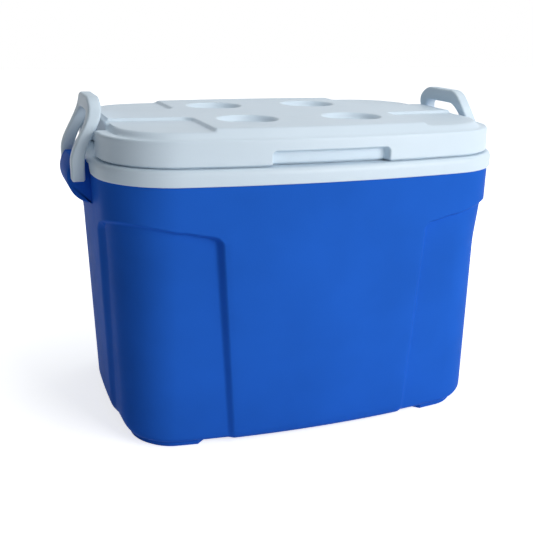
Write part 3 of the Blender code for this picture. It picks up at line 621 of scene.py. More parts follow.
class ShellForm:
    """Stations and rows of the shell's surface: proud panels and set-back corner columns."""

    def __init__(self, sizes):
        self.sizes = sizes
        self.rim = sizes.rim_height - COLLAR_ROUND[1] - 2 * CLEARANCE
        self.column_top = sizes.rim_height - sizes.collar_height - sizes.column_drop
        stretch, share = [], []
        for kind, cells in enumerate(SHELL_CELLS):
            last = kind == len(SHELL_CELLS) - 1
            part = np.linspace(0.0, 1.0, cells + 1)[: None if last else -1]
            stretch.append(np.full(len(part), kind))
            share.append(part**1.6 if kind == 2 else part)
        self.stretch = np.concatenate(stretch)
        self.share = np.concatenate(share)
        at = [self.stretch == kind for kind in range(len(SHELL_CELLS))]
        t = self.share
        climb = [0 * t, 0.1 * smooth(t), 0.1 + 0.4 * smooth(t), 0.5 + 0.5 * np.sin(math.pi * t)]
        climb += [0.5 - 0.1 * t, 0.4 * smooth(1 - t), 0 * t]
        self.climb = np.select(at, climb)
        self.base_height = self.along(*BASE_HEIGHTS)
        self.base_run = self.along(*BASE_RUNS)
        self.top = self.column_top + COLUMN_RISE * self.climb

    def along(self, panel, column, corner, end_column, end):
        """Value at each station, blended from those of the panels, the columns and the corner."""
        t = self.share
        ease = smooth(t)
        turn = np.where(
            t < 0.5,
            column + (corner - column) * smooth(2 * t),
            end_column + (corner - end_column) * smooth(2 - 2 * t),
        )
        values = [0 * t + panel, panel + (column - panel) * ease, 0 * t + column, turn]
        values += [0 * t + end_column, end_column + (end - end_column) * ease, 0 * t + end]
        return np.select([self.stretch == kind for kind in range(len(SHELL_CELLS))], values)

    def outline(self, z):
        drop = self.rim - z
        step = LINER_WALL + CLEARANCE
        return Outline(
            self.sizes,
            self.sizes.half_length - step - drop * END_DRAFT,
            self.sizes.half_depth - step - drop * SIDE_DRAFT,
            self.sizes.corner_radius - step - drop * CORNER_TIGHTENING,
        )

    def between(self, span, z):
        """Size at height z that runs over a span from the base to the top of the columns."""
        up = np.clip((z - FOOT_HEIGHT) / (self.column_top - FOOT_HEIGHT), 0.0, 1.0)
        return span[0] + (span[1] - span[0]) * up

    def column_outline(self, z):
        panel = self.outline(z)
        return Outline(
            self.sizes,
            panel.half_length - self.between(COLUMN_END_DEPTH, z),
            panel.half_depth - self.between(COLUMN_SIDE_DEPTH, z),
            self.between(COLUMN_RADIUS, z),
        )

    def stations(self, outline, z):
        """Places x on the long side and y on the end wall, and the outline's points and normals."""
        side_panel = self.between(SIDE_PANEL, z)
        end_panel = self.between(END_PANEL, z)
        t = self.share + 0 * z
        at = [self.stretch + 0 * z == kind for kind in range(len(SHELL_CELLS))]
        column_x = side_panel + SIDE_STEP
        x = np.select(at[:3], [t * side_panel, side_panel + t * SIDE_STEP,
                               column_x + t * (outline.side_contact - column_x)], 0.0)
        column_y = end_panel + END_STEP
        y = np.select(at[4:], [outline.end_contact + t * (column_y - outline.end_contact),
                               end_panel + (1 - t) * END_STEP, (1 - t) * end_panel], 0.0)
        lines = outline.side(x), outline.corner(t), outline.end(y)
        on_side = at[0] | at[1] | at[2]
        return x, y, [
            np.where(on_side, side, np.where(at[3], corner, end)) for side, corner, end in zip(*lines)
        ]

    def points(self, z, extra):
        """Surface points for heights z (row, station), moved in by an extra inset."""
        x, y, panel = self.stations(self.outline(z), z)
        _, _, column = self.stations(self.column_outline(z), z)
        on_side = self.stretch + 0 * z < 3
        on_end = self.stretch + 0 * z > 3
        far = 1.0
        from_side = np.where(on_side, x - self.between(SIDE_PANEL, z), far)
        from_end = np.where(on_end, (y - self.between(END_PANEL, z)) * SIDE_STEP / END_STEP, far)
        down = self.top - z
        from_top = down * SIDE_STEP / COLUMN_STEP
        reach = np.minimum(
            rounded_reach(from_side, from_top, RECESS_ROUND),
            rounded_reach(from_end, from_top, RECESS_ROUND),
        )
        scoop = SCOOP * np.clip((self.climb - 0.1) / 0.9, 0.0, 1.0) * (1 - smooth(down / SCOOP_HEIGHT))
        back = smooth(reach / SIDE_STEP) * (1 - scoop)
        px, py, nx, ny = (front + (behind - front) * back for front, behind in zip(panel, column))
        inset = extra / np.hypot(nx, ny)
        return np.stack([px - inset * nx, py - inset * ny, z + 0 * px], -1)

    def side_rows(self, extra, bottom, counts):
        """Rows of the side, from under the rounded base up to the rim."""
        base_rows, low_rows, scoop_rows, step_rows, band_rows = counts
        low = self.base_height + bottom
        angles = np.linspace(math.pi / 2, 0.0, base_rows + 1)[:, None]
        heights = [bottom + self.base_height * (1 - np.sin(angles))]
        insets = [extra + self.base_run * (1 - np.cos(angles))]
        marks = [low, self.top - 0.060, self.top - 0.014, self.top + 0.003, 0 * low + self.rim]
        for start, end, rows in zip(marks, marks[1:], (low_rows, scoop_rows, step_rows, band_rows)):
            share = np.linspace(0, 1, rows + 1)[1:, None]
            heights.append(start + (end - start) * share)
            insets.append(np.full((rows, len(low)), extra))
        return self.points(np.concatenate(heights), np.concatenate(insets))


def ear_outline(form):
    """Side view of an ear: flat top and a round nose that runs down into the wall."""
    cx, cz = EAR_CENTRE
    top_x, end_x = (float(form.outline(z).half_length) - SHELL_WALL / 2 for z in (EAR_TOP, cz - EAR_RADIUS))
    start = math.asin((EAR_TOP - cz) / EAR_RADIUS)
    end = -math.acos((end_x - cx) / EAR_RADIUS)
    nose = [
        (cx + EAR_RADIUS * math.cos(a), cz + EAR_RADIUS * math.sin(a))
        for a in np.linspace(start, end, 30)
    ]
    return [(top_x, EAR_TOP), ((top_x + nose[0][0]) / 2, EAR_TOP), *nose]


def foot_body(form, sign_x, sign_y):
    """Pad under a corner column, from the long side round to the end wall."""
    level = np.full((1, len(form.share)), FOOT_HEIGHT)
    face = form.base_run - FOOT_OUT
    plan = form.points(level, face[None])[0]
    keep = (plan[:, 0] > FOOT_START[0]) & (plan[:, 1] > FOOT_START[1])
    ahead = np.concatenate([[0], np.cumsum(np.hypot(*np.diff(plan[keep, :2], axis=0).T))])
    near_end = np.clip(FOOT_END_ROUND - np.minimum(ahead, ahead[-1] - ahead), 0.0, None)
    face[keep] += FOOT_END_ROUND - np.sqrt(FOOT_END_ROUND**2 - near_end**2)
    rows = [(FOOT_EDGE - rise, inset) for rise, inset in round_edge(FOOT_EDGE, 5)][::-1]
    rows.append((FOOT_HEIGHT + FOOT_SINK, 0.0))
    rings = []
    for z, edge in rows:
        ring = form.points(level, (face + edge)[None])[0][keep]
        ring[0, 0] += edge
        ring[-1, 1] += edge
        ring = np.concatenate([ring, [(ring[0, 0], ring[-1, 1], 0.0)]])
        rings.append(ring * (sign_x, sign_y, 0) + (0, 0, z))
    return finish_body("foot", loft_body(np.array(rings)))


class COOLER_OT_shell(bpy.types.Operator):
    """Builds the blue outer shell with its columns, ears and foot pads"""

    bl_idname = "cooler.shell"
    bl_label = "Outer shell"

    def execute(self, context):
        form = ShellForm(context.scene.chest_sizes)
        outer = form.side_rows(0.0, FOOT_HEIGHT, (8, 18, 14, 22, 14))
        inner = form.side_rows(SHELL_WALL, FOOT_HEIGHT + SHELL_WALL, (3, 4, 5, 8, 3))
        rings = all_round(np.concatenate([outer, inner[::-1]]))
        shell = finish_body("cooler_shell", loft_body(rings), blue_finish(context.scene.chest_colours))
        edge = round_edge(EAR_EDGE, 3)
        stations = [(-EAR_HALF_WIDTH + EAR_EDGE - rise, inset) for rise, inset in edge][::-1]
        stations += [(EAR_HALF_WIDTH - EAR_EDGE + rise, inset) for rise, inset in edge]
        outline = np.array(ear_outline(form))
        ears = [slab(f"ear_{sign}", outline * (sign, 1), stations) for sign in (1, -1)]
        feet = [foot_body(form, sign_x, sign_y) for sign_x in (1, -1) for sign_y in (1, -1)]
        cut(shell, ears + feet, "UNION")
        holes = [peg("fill_hole", FILL_HOLE, -0.02, FOOT_HEIGHT + SHELL_WALL + 0.02, 48)]
        for sign_x in (1, -1):
            for sign_y in (1, -1):
                turn = Matrix.Translation((sign_x * PIVOT[0], 0.0, PIVOT[2]))
                turn = turn @ Matrix.Rotation(-sign_y * math.pi / 2, 4, "X")
                start = EAR_HALF_WIDTH - SOCKET_DEPTH
                holes.append(peg("socket", SOCKET_RADIUS, start, EAR_HALF_WIDTH + 0.02, 40, turn))
        cut(shell, holes, "DIFFERENCE")
        settle(shell, "cooler_shell", "body", ["outer_shell"])
        return {"FINISHED"}


# Liner


def ring_rows(quarter, rows):
    """Rows (z, inset) of rings on a quarter's stations; z and inset may vary by station."""
    x, y, nx, ny = quarter
    return np.stack(
        [np.stack([x - inset * nx, y - inset * ny, z + 0 * x], -1) for z, inset in rows]
    )


class COOLER_OT_liner(bpy.types.Operator):
    """Builds the white liner with its rolled collar, cut away at the ears"""

    bl_idname = "cooler.liner"
    bl_label = "Liner and collar"

    def execute(self, context):
        sizes = context.scene.chest_sizes
        outline = collar_outline(sizes)
        cut_ys = (CUT_HALF_WIDTH + CUT_ROUND + 0.002, CUT_HALF_WIDTH - 0.003)
        quarter = outline.quarter(
            spread((0.0, outline.side_contact, 24)),
            np.linspace(0, 1, 27)[1:-1],
            spread((outline.end_contact, cut_ys[0], 6), (*cut_ys, 24), (cut_ys[1], 0.0, 8)),
        )
        rim = sizes.rim_height
        floor = LINER_FLOOR
        bottom = rim - sizes.collar_height
        flange = rim - LINER_WALL

        def inside(z):
            return MOUTH_INSET + (rim - z) * LINER_DRAFT

        beside = np.where(quarter[0] > outline.centre[0], quarter[1] - CUT_HALF_WIDTH, 1.0)
        slot_top = EAR_TOP + CLEARANCE
        lift = np.clip(beside, 0.0, CUT_ROUND) / CUT_ROUND
        under = bottom + (slot_top - bottom) * np.where(
            beside > CUT_ROUND, 0.0, np.where(beside < 0, 1.0, 1 - np.sqrt(1 - (1 - lift) ** 2))
        )
        rows = []
        for rise, inset in round_edge(LINER_ROUND, 6)[::-1]:
            z = floor + LINER_ROUND - rise
            rows.append((z, inside(z) + inset))
        rows += [(z, inside(z)) for z in np.linspace(floor + LINER_ROUND, rim - MOUTH_ROUND, 9)[1:]]
        rows += [
            (rim - MOUTH_ROUND + rise, inside(rim) - inset)
            for rise, inset in round_edge(MOUTH_ROUND, 4)[1:]
        ]
        curve, fall = COLLAR_ROUND
        for angle in np.linspace(math.pi / 2, 0.0, 8):
            rows.append((rim - fall * (1 - math.sin(angle)), curve * (1 - math.cos(angle))))
        shoulder = rim - fall
        edge_z = np.minimum(under + COLLAR_LIP, shoulder - 0.0002)
        for share in (0.25, 0.5, 0.75, 1.0):
            rows.append((shoulder + (edge_z - shoulder) * share, 0.0))
        for rise, inset in round_edge(COLLAR_LIP, 3)[1:]:
            rows.append((edge_z - rise * np.minimum(1.0, (edge_z - under) / COLLAR_LIP), inset))
        skirt = LINER_WALL
        channel = shoulder - CLEARANCE
        rows += [
            (np.minimum(under, channel - 0.0002), skirt),
            (channel, skirt),
            (flange, skirt + SHELL_WALL),
            (flange, inside(flange) - LINER_WALL),
            (floor - LINER_WALL + LINER_ROUND, inside(floor + LINER_ROUND) - LINER_WALL),
            (floor - LINER_WALL, inside(floor) - LINER_WALL + LINER_ROUND / 2),
        ]
        rings = all_round(ring_rows(quarter, rows))
        liner = finish_body("cooler_liner", loft_body(rings), white_finish(context.scene.chest_colours))
        settle(liner, "cooler_liner", "body", ["inner_liner"])
        return {"FINISHED"}


# Lid


class LidForm:
    """Outline and height of the lid's cover."""

    def __init__(self, sizes, lid, handle):
        self.outline = collar_outline(sizes)
        self.lid = lid
        self.shoulder = lid.top - lid.crown
        self.notch_x = PIVOT[0] - HANDLE_SHIFT - handle.lean - handle.bar_thickness / 2 - NOTCH_GAP
        self.notch_y = HANDLE_INNER_Y + handle.leg + NOTCH_GAP

    def quarter(self):
        """Columns x, y, nx, ny of the lid's edge, from mid side to mid end, round the notch."""
        outline = self.outline
        grip = self.lid.grip_half_length
        xs = spread(
            (0.0, grip - 0.007, 9), (grip - 0.007, grip + 0.004, 16),
            (grip + 0.004, outline.side_contact, 12),
        )
        mouth_y = self.notch_y + NOTCH_EDGE
        ys = spread((outline.end_contact, mouth_y, 6))
        x, y, nx, ny = outline.quarter(xs, np.linspace(0, 1, 29)[1:-1], ys)
        x, y = x - LID_INSET * nx, y - LID_INSET * ny
        first = math.atan2(ny[-1], nx[-1])
        centre = (x[-1] - NOTCH_EDGE * nx[-1], y[-1] - NOTCH_EDGE * ny[-1])
        angles = np.linspace(first, -math.pi / 2, 9)[1:]
        mouth = [(centre[0] + NOTCH_EDGE * math.cos(a), centre[1] + NOTCH_EDGE * math.sin(a),
                  math.cos(a), math.sin(a)) for a in angles]
        deep_y = mouth[-1][1]
        inner = (self.notch_x + NOTCH_ROUND, deep_y - NOTCH_ROUND)
        angles = np.linspace(-math.pi / 2, 0.0, 9)
        turn = [(inner[0] - NOTCH_ROUND * math.cos(a), inner[1] - NOTCH_ROUND * math.sin(a),
                 math.cos(a), math.sin(a)) for a in angles]
        back = [(self.notch_x, v, 1.0, 0.0) for v in np.linspace(inner[1], 0.0, 9)[1:]]
        rest = np.array(mouth + turn + back).T
        return np.concatenate([np.stack([x, y, nx, ny]), rest], axis=1)

    def plain_quarter(self):
        """Stations of the collar's outline without the notches, spread like those of the edge."""
        x, y, _, _ = self.quarter()
        outline = self.outline
        dense = outline.quarter(
            spread((0.0, outline.side_contact, 200)), np.linspace(0, 1, 201)[1:-1],
            spread((outline.end_contact, 0.0, 200)),
        )
        shares, walk = (
            np.concatenate([[0], np.cumsum(np.hypot(np.diff(line[0]), np.diff(line[1])))])
            for line in ((x, y), dense)
        )
        return np.stack([np.interp(shares / shares[-1], walk / walk[-1], column) for column in dense])

    def pocket(self, x, y):
        """Distance inside a lowered corner."""
        x, y = np.abs(x), np.abs(y)
        edge_y = POCKET_Y - POCKET_TAPER * np.clip(x - POCKET_X, 0.0, None)
        return rounded_reach(x - POCKET_X, y - edge_y, POCKET_ROUND)

    def cup(self, x, y):
        """Distance from the middle of the nearest can recess."""
        return np.hypot(np.abs(x) - self.lid.cup_x, np.abs(y) - self.lid.cup_y)

    def height(self, x, y):
        lid = self.lid
        inset, end = self.outline.inset(x, y)
        low = SHOULDER_INSET[0] * (1 - end) + SHOULDER_INSET[1] * end
        high = CROWN_INSET[0] * (1 - end) + CROWN_INSET[1] * end
        bevel = self.shoulder + lid.crown * soft_ramp((inset - low) / (high - low), CROWN_SOFT)
        top = lid.top - lid.pocket_depth * soft_ramp(self.pocket(x, y) / POCKET_SLOPE + 0.5, 0.4)
        wall = (lid.cup_radius + CUP_WALL / 2 - self.cup(x, y)) / CUP_WALL
        top = top - lid.cup_depth * soft_ramp(wall, 0.35)
        return np.minimum(soft_min(bevel, top, 0.0012), lid.top)

    def grip(self, x, z, grow):
        """How far the finger grip goes in at x on the long sides, at height z."""
        lid = self.lid
        along = lid.grip_half_length + grow - np.abs(x)
        under = lid.bottom + lid.grip_height + grow - z
        reach = rounded_reach(along, under, GRIP_ROUND)
        return lid.grip_depth * soft_ramp(reach / GRIP_SLOPE, 0.4)

    def edge_rings(self):
        """Rings from inside the cover, under its lower edge and up to the rim of its top."""
        lid = self.lid
        x, y, nx, ny = self.quarter()
        on_side = ny > 0.9
        bottom, shoulder = lid.bottom, self.shoulder
        brim = LID_LEAN + LID_TOP_ROUND
        brim_z = self.height(x - brim * nx, y - brim * ny)
        round_z = brim_z - LID_TOP_ROUND
        ceiling = lid.top - lid.cup_depth - LID_WALL

        def grip(z, grow=0.0):
            return np.where(on_side, self.grip(x, z, grow), 0.0)

        rows = [
            (shoulder - LID_WALL, LID_WALL + LID_LEAN + grip(shoulder, LID_WALL)),
            (bottom + lid.grip_height + 2 * LID_WALL, LID_WALL + LID_LEAN),
            (bottom + lid.grip_height, LID_WALL + LID_LEAN + grip(bottom, LID_WALL)),
            (bottom + LID_FOOT_ROUND, LID_WALL + LID_LEAN + grip(bottom, LID_WALL)),
            (bottom, LID_WALL + LID_LEAN + grip(bottom, LID_WALL)),
        ]
        for rise, inset in round_edge(LID_FOOT_ROUND, 3)[::-1]:
            z = bottom + LID_FOOT_ROUND - rise
            rows.append((z, inset + grip(z)))
        grip_top = bottom + lid.grip_height
        heights = spread(
            (bottom + LID_FOOT_ROUND, grip_top - 0.005, 5), (grip_top - 0.005, grip_top + 0.0015, 11),
            (grip_top + 0.0015, shoulder - LID_TOP_ROUND, 5),
        )[1:]
        low, high = bottom + LID_FOOT_ROUND, heights[-1]
        for z in heights:
            share = (z - low) / (high - low)
            at = low + (round_z - low) * share if z > grip_top + 0.0015 else z
            rows.append((at, LID_LEAN * share + grip(z)))
        for rise, inset in round_edge(LID_TOP_ROUND, 5)[1:]:
            rows.append((round_z + rise, LID_LEAN + inset))
        inside = ring_rows(self.plain_quarter(), [(ceiling, CEILING_INSET)])
        return all_round(np.concatenate([inside, ring_rows((x, y, nx, ny), rows)]))

    def top_points(self, rim):
        """Plan points of the top: along its edge, its steps and its can recesses, and between."""
        lid = self.lid
        outline = self.outline
        quarter = outline.quarter(
            spread((0.0, outline.side_contact, 40)), np.linspace(0, 1, 35)[1:-1],
            spread((outline.end_contact, 0.0, 22)),
        )
        groups = []
        for inset in np.concatenate([np.arange(0.0085, 0.0285, 0.002), [0.031]]):
            groups.append(np.stack([quarter[0] - inset * quarter[2], quarter[1] - inset * quarter[3]], -1))
        for reach in np.linspace(-0.0030, 0.0035, 9):
            ys = np.arange(POCKET_Y + POCKET_ROUND, 0.172, 0.004)
            groups.append(np.stack([np.full(len(ys), POCKET_X + reach), ys], -1))
            xs = np.arange(POCKET_X + POCKET_ROUND, 0.236, 0.004)
            edge = POCKET_Y - POCKET_TAPER * (xs - POCKET_X)
            groups.append(np.stack([xs, edge + reach], -1))
            angles = np.linspace(math.pi, 1.5 * math.pi, 9)
            size = POCKET_ROUND - reach
            centre = (POCKET_X + POCKET_ROUND, POCKET_Y - POCKET_TAPER * POCKET_ROUND + POCKET_ROUND)
            groups.append(np.stack([centre[0] + size * np.cos(angles), centre[1] + size * np.sin(angles)], -1))
        angles = np.linspace(0, 2 * math.pi, 72, endpoint=False)
        for radius in np.arange(lid.cup_radius - 0.007, lid.cup_radius + 0.0075, 0.001):
            groups.append(np.stack([lid.cup_x + radius * np.cos(angles), lid.cup_y + radius * np.sin(angles)], -1))
        grid = np.stack(np.meshgrid(np.arange(0.003, 0.24, 0.006), np.arange(0.003, 0.176, 0.006)), -1)
        grid = grid.reshape(-1, 2)
        inset, _ = outline.inset(grid[:, 0], grid[:, 1])
        cup = np.abs(self.cup(grid[:, 0], grid[:, 1]) - lid.cup_radius)
        pocket = np.abs(self.pocket(grid[:, 0], grid[:, 1]))
        groups.append(grid[(inset > 0.033) & (cup > 0.011) & (pocket > 0.007)])
        points = np.concatenate(groups)
        inset, _ = outline.inset(points[:, 0], points[:, 1])
        brim = LID_INSET + LID_LEAN + LID_TOP_ROUND + 0.0012
        in_notch = (points[:, 0] > self.notch_x - LID_LEAN - LID_TOP_ROUND - 0.0012) & (
            points[:, 1] < self.notch_y + LID_LEAN + LID_TOP_ROUND + 0.0012
        )
        points = points[(inset > brim) & ~in_notch & (points > 0.0012).all(1)]
        signs = [(1, 1), (1, -1), (-1, 1), (-1, -1)]
        points = np.concatenate([points * sign for sign in signs])
        _, keep = np.unique(np.round(points / 0.0009).astype(int), axis=0, return_index=True)
        return np.concatenate([rim[:, :2], points[np.sort(keep)]])

    def body(self):
        rings = self.edge_rings()
        rim = rings[-1]
        count = len(rim)
        points = self.top_points(rim)
        edges = [(i, (i + 1) % count) for i in range(count)]
        flat, _, faces, _, _, _ = delaunay_2d_cdt(
            [Vector(p) for p in points.tolist()], edges, [], 1, 1e-6, True
        )
        flat = np.array([tuple(p) for p in flat])
        top = np.column_stack([flat, self.height(flat[:, 0], flat[:, 1])])
        top[:count, 2] = rim[:, 2]
        body = loft_body(rings, (True, False))
        made = [body.verts.new(p) for p in top.tolist()]
        for corners in faces:
            if max(corners) >= count or inside_ring(flat[corners].mean(0), rim):
                body.faces.new([made[i] for i in corners])
        return body


class COOLER_OT_lid(bpy.types.Operator):
    """Builds the white lid cover with its can recesses, lowered corners, grips and notches"""

    bl_idname = "cooler.lid"
    bl_label = "Lid cover"

    def execute(self, context):
        scene = context.scene
        form = LidForm(scene.chest_sizes, scene.chest_lid, scene.chest_handle)
        lid = finish_body("cooler_lid", form.body(), white_finish(scene.chest_colours))
        settle(lid, "cooler_lid", "lid", ["lid_top"])
        return {"FINISHED"}


class COOLER_OT_lid_panel(bpy.types.Operator):
    """Builds the lid's white underside with the plug that drops into the mouth"""

    bl_idname = "cooler.lid_panel"
    bl_label = "Lid underside"

    def execute(self, context):
        scene = context.scene
        sizes, lid = scene.chest_sizes, scene.chest_lid
        form = LidForm(sizes, lid, scene.chest_handle)
        x, y, nx, ny = form.quarter()
        grip = np.where(ny > 0.9, form.grip(x, lid.bottom, LID_WALL), 0.0)
        rim = sizes.rim_height
        low = rim - PLUG_DEPTH
        edge = ring_rows((x, y, nx, ny), [
            (PANEL_HIGH.z, LID_WALL + LID_LEAN + CLEARANCE + grip),
            (rim + CLEARANCE, LID_WALL + LID_LEAN + CLEARANCE + grip),
        ])
        plan = form.plain_quarter()

        def plug(z):
            return MOUTH_INSET + (rim - z) * LINER_DRAFT + PLUG_GAP

        floor = low + LINER_WALL
        inner = ring_rows(plan, [
            (floor, plug(floor) + 2 * LINER_WALL),
            (floor + LINER_WALL, plug(floor) + LINER_WALL),
            (PANEL_HIGH.z, plug(PANEL_HIGH.z) + LINER_WALL),
        ])
        fillet = [
            (low + LINER_WALL - rise, plug(low) + inset) for rise, inset in round_edge(LINER_WALL, 5)
        ]
        outer = ring_rows(plan, [(rim + CLEARANCE, plug(rim) - 0.0012), (rim - 0.0012, plug(rim)), *fillet])
        rings = all_round(np.concatenate([inner, edge, outer]))
        panel = finish_body("cooler_lid_panel", loft_body(rings), white_finish(scene.chest_colours))
        cut(panel, [peg("panel_hole", FILL_HOLE, low - 0.02, floor + 0.02, 48)], "DIFFERENCE")
        settle(panel, "cooler_lid_panel", "lid", ["lid_inner_panel"])
        return {"FINISHED"}


# Handles


def handle_curve(y, round_y, top, bottom, counts):
    """Half of a bail's outer or inner edge as (y, z), from its leg's end to the middle."""
    leg, turn, bar = counts
    up = [(y, z) for z in np.linspace(bottom, top - round_y, leg + 1)]
    angles = np.linspace(0, math.pi / 2, turn + 1)[1:]
    bend = [(y - round_y + round_y * math.cos(a), top - round_y + round_y * math.sin(a)) for a in angles]
    across = [(v, top) for v in np.linspace(y - round_y, 0.0, bar + 1)[1:]]
    return np.array(up + bend + across)


def bail_rings(handle):
    """Rings of the right-hand bail about its pivot, from one leg's end to the other."""
    top = HANDLE_HIGH.z - PIVOT[2]
    bottom = HANDLE_LOW.z - PIVOT[2]
    counts = (22, 16, 27)
    outer = handle_curve(HANDLE_INNER_Y + handle.leg, HANDLE_OUTER_ROUND, top, bottom, counts)
    inner = handle_curve(HANDLE_INNER_Y, HANDLE_INNER_ROUND, top - handle.bar, bottom, counts)
    outer = np.concatenate([outer, outer[-2::-1] * (-1, 1)])
    inner = np.concatenate([inner, inner[-2::-1] * (-1, 1)])
    middle = (outer + inner) / 2
    across = outer - inner
    half = np.linalg.norm(across, axis=1) / 2
    across = across / (2 * half)[:, None]
    ends = [(-rise, inset) for rise, inset in round_edge(HANDLE_EDGE, 4)[::-1]]
    last = len(middle) - 1
    sections = [(0, HANDLE_EDGE + rise, inset) for rise, inset in ends]
    sections += [(i, 0.0, 0.0) for i in range(1, last)]
    sections += [(last, HANDLE_EDGE + rise, inset) for rise, inset in reversed(ends)]
    rings = []
    for i, rise, inset in sections:
        radius = max(HANDLE_EDGE - inset, 0.0004)
        w, t = half[i] - inset - radius, handle.thickness / 2 - inset - radius
        ring = []
        for corner, (sign_w, sign_t) in enumerate(((1, 1), (-1, 1), (-1, -1), (1, -1))):
            for step in range(6):
                angle = math.pi / 2 * (corner + step / 5)
                ring.append((sign_w * w + radius * math.cos(angle), sign_t * t + radius * math.sin(angle)))
        ring = np.array(ring)
        along = middle[i][0]
        fade = smooth((RIB_HALF_SPAN - abs(along)) / 0.004) if middle[i][1] > top - handle.bar else 0.0
        rib = RIB_HEIGHT * fade * (0.5 - 0.5 * math.cos(2 * math.pi * along / RIB_PITCH))
        ring[:, 0] += np.where(ring[:, 0] > 0, rib - RIB_HEIGHT * fade, 0.0)
        yz = middle[i] + ring[:, :1] * across[i]
        z = yz[:, 1] + rise
        share = smooth((z - LEAN_SPAN[0]) / (LEAN_SPAN[1] - LEAN_SPAN[0]))
        thin = 1 - share * (1 - handle.bar_thickness / handle.thickness)
        rings.append(np.stack([ring[:, 1] * thin - handle.lean * share, yz[:, 0], z], -1))
    return np.array(rings)


class COOLER_OT_handles(bpy.types.Operator):
    """Builds the two white bail handles with their ribbed grip bars and pivot pegs"""

    bl_idname = "cooler.handles"
    bl_label = "Handles"

    def execute(self, context):
        scene = context.scene
        rings = bail_rings(scene.chest_handle)
        for side, sign in (("left", -1), ("right", 1)):
            place = rings * (sign, sign, 1) + (sign * (PIVOT[0] - HANDLE_SHIFT), 0.0, PIVOT[2])
            name = f"cooler_handle_{side}"
            bail = finish_body(name, loft_body(place), handle_finish(scene.chest_colours))
            pegs = []
            for sign_y in (1, -1):
                turn = Matrix.Translation((sign * PIVOT[0], 0.0, PIVOT[2]))
                turn = turn @ Matrix.Rotation(-sign_y * math.pi / 2, 4, "X")
                low = HANDLE_INNER_Y - PEG_LENGTH
                pegs.append(peg("peg", PEG_RADIUS, low, HANDLE_INNER_Y + 0.006, 40, turn))
            cut(bail, pegs, "UNION")
            settle(bail, name, f"handle_{side}", [f"handle_{side}"])
        return {"FINISHED"}


# Foam and plugs


def body_foam(form):
    """Foam between the shell and the liner, on the shell's stations."""
    sizes = form.sizes
    bottom = PLUG_HIGH.z + CLEARANCE
    outer = form.side_rows(SHELL_WALL + CLEARANCE, bottom, (3, 4, 5, 8, 3))
    back = LINER_WALL + CLEARANCE
    floor = LINER_FLOOR - back
    rows = []
    for z, run in ((form.rim, 0.0), (floor + LINER_ROUND, 0.0), (floor, LINER_ROUND / 2)):
        inset = MOUTH_INSET + (sizes.rim_height - z) * LINER_DRAFT - back + run
        level = np.full((1, len(form.share)), z)
        _, _, (x, y, nx, ny) = form.stations(collar_outline(sizes), level)
        rows.append(np.stack([x - inset * nx, y - inset * ny, level], -1))
    return loft_body(all_round(np.concatenate([outer, *rows])))


def lid_foam(form):
    """Foam between the lid's cover and its underside."""
    lid = form.lid
    quarter = form.quarter()
    gap = LID_WALL + LID_LEAN + CLEARANCE
    grip = np.where(quarter[3] > 0.9, form.grip(quarter[0], lid.bottom, LID_WALL + CLEARANCE), 0.0)
    grip_top = lid.bottom + lid.grip_height
    ceiling = lid.top - lid.cup_depth - LID_WALL
    rows = [
        (PANEL_HIGH.z + CLEARANCE, gap + grip),
        (grip_top + CLEARANCE, gap + grip),
        (grip_top + 2 * LID_WALL, gap),
        (form.shoulder - LID_WALL - CLEARANCE, gap),
    ]
    inside = ring_rows(form.plain_quarter(), [(ceiling - CLEARANCE, CEILING_INSET + CLEARANCE)])
    return loft_body(all_round(np.concatenate([ring_rows(quarter, rows), inside])))


class COOLER_OT_inside(bpy.types.Operator):
    """Fills the walls and the lid with foam and gives the fill plugs their finishes"""

    bl_idname = "cooler.inside"
    bl_label = "Foam and plugs"

    def execute(self, context):
        scene = context.scene
        colours = scene.chest_colours
        foam = foam_finish("insulation_foam_finish", tuple(colours.foam))
        body = finish_body("cooler_body_foam", body_foam(ShellForm(scene.chest_sizes)), foam)
        settle(body, "cooler_body_foam", "body", ["body_insulation"])
        form = LidForm(scene.chest_sizes, scene.chest_lid, scene.chest_handle)
        lid = finish_body("cooler_lid_foam", lid_foam(form), foam)
        settle(lid, "cooler_lid_foam", "lid", ["lid_insulation"])
        for node, finish in (("body_fill_plug", blue_finish), ("lid_fill_plug", white_finish)):
            item = frame["nodes"][node]
            item.data.materials.clear()
            item.data.materials.append(finish(colours))
        return {"FINISHED"}


# Stage


def aim(item, target):
    direction = Vector(target) - item.location
    item.rotation_euler = direction.to_track_quat("-Z", "Y").to_euler()


def softbox(name, place, target, size, power, colour):
    data = bpy.data.lights.new(name, "AREA")
    data.shape = "RECTANGLE"
    data.size, data.size_y = size
    data.energy = power
    data.color = colour
    item = bpy.data.objects.new(name, data)
    bpy.context.scene.collection.objects.link(item)
    item.location = place
    aim(item, target)
    return item


def seen_directly(nodes, links):
    """Node that is 1 for what the camera sees, straight on or through gloss or glass."""
    path = nodes.new("ShaderNodeLightPath")
    seen = path.outputs["Is Camera Ray"]
    for ray in ("Is Glossy Ray", "Is Transmission Ray"):
        either = nodes.new("ShaderNodeMath")
        either.operation = "MAXIMUM"
        links.new(seen, either.inputs[0])
        links.new(path.outputs[ray], either.inputs[1])
        seen = either.outputs[0]
    return seen


def whiten_world(world):
    """Surroundings that look white but light the chest only faintly."""
    nodes, links = world.node_tree.nodes, world.node_tree.links
    lit = nodes["Background"]
    lit.inputs["Color"].default_value = (0.80, 0.90, 1.0, 1.0)
    lit.inputs["Strength"].default_value = WORLD_LIGHT
    white = nodes.new("ShaderNodeBackground")
    white.inputs["Color"].default_value = (1.0, 1.0, 1.0, 1.0)
    white.inputs["Strength"].default_value = 1.0
    mix = nodes.new("ShaderNodeMixShader")
    links.new(seen_directly(nodes, links), mix.inputs[0])
    links.new(lit.outputs[0], mix.inputs[1])
    links.new(white.outputs[0], mix.inputs[2])
    links.new(mix.outputs[0], nodes["World Output"].inputs["Surface"])


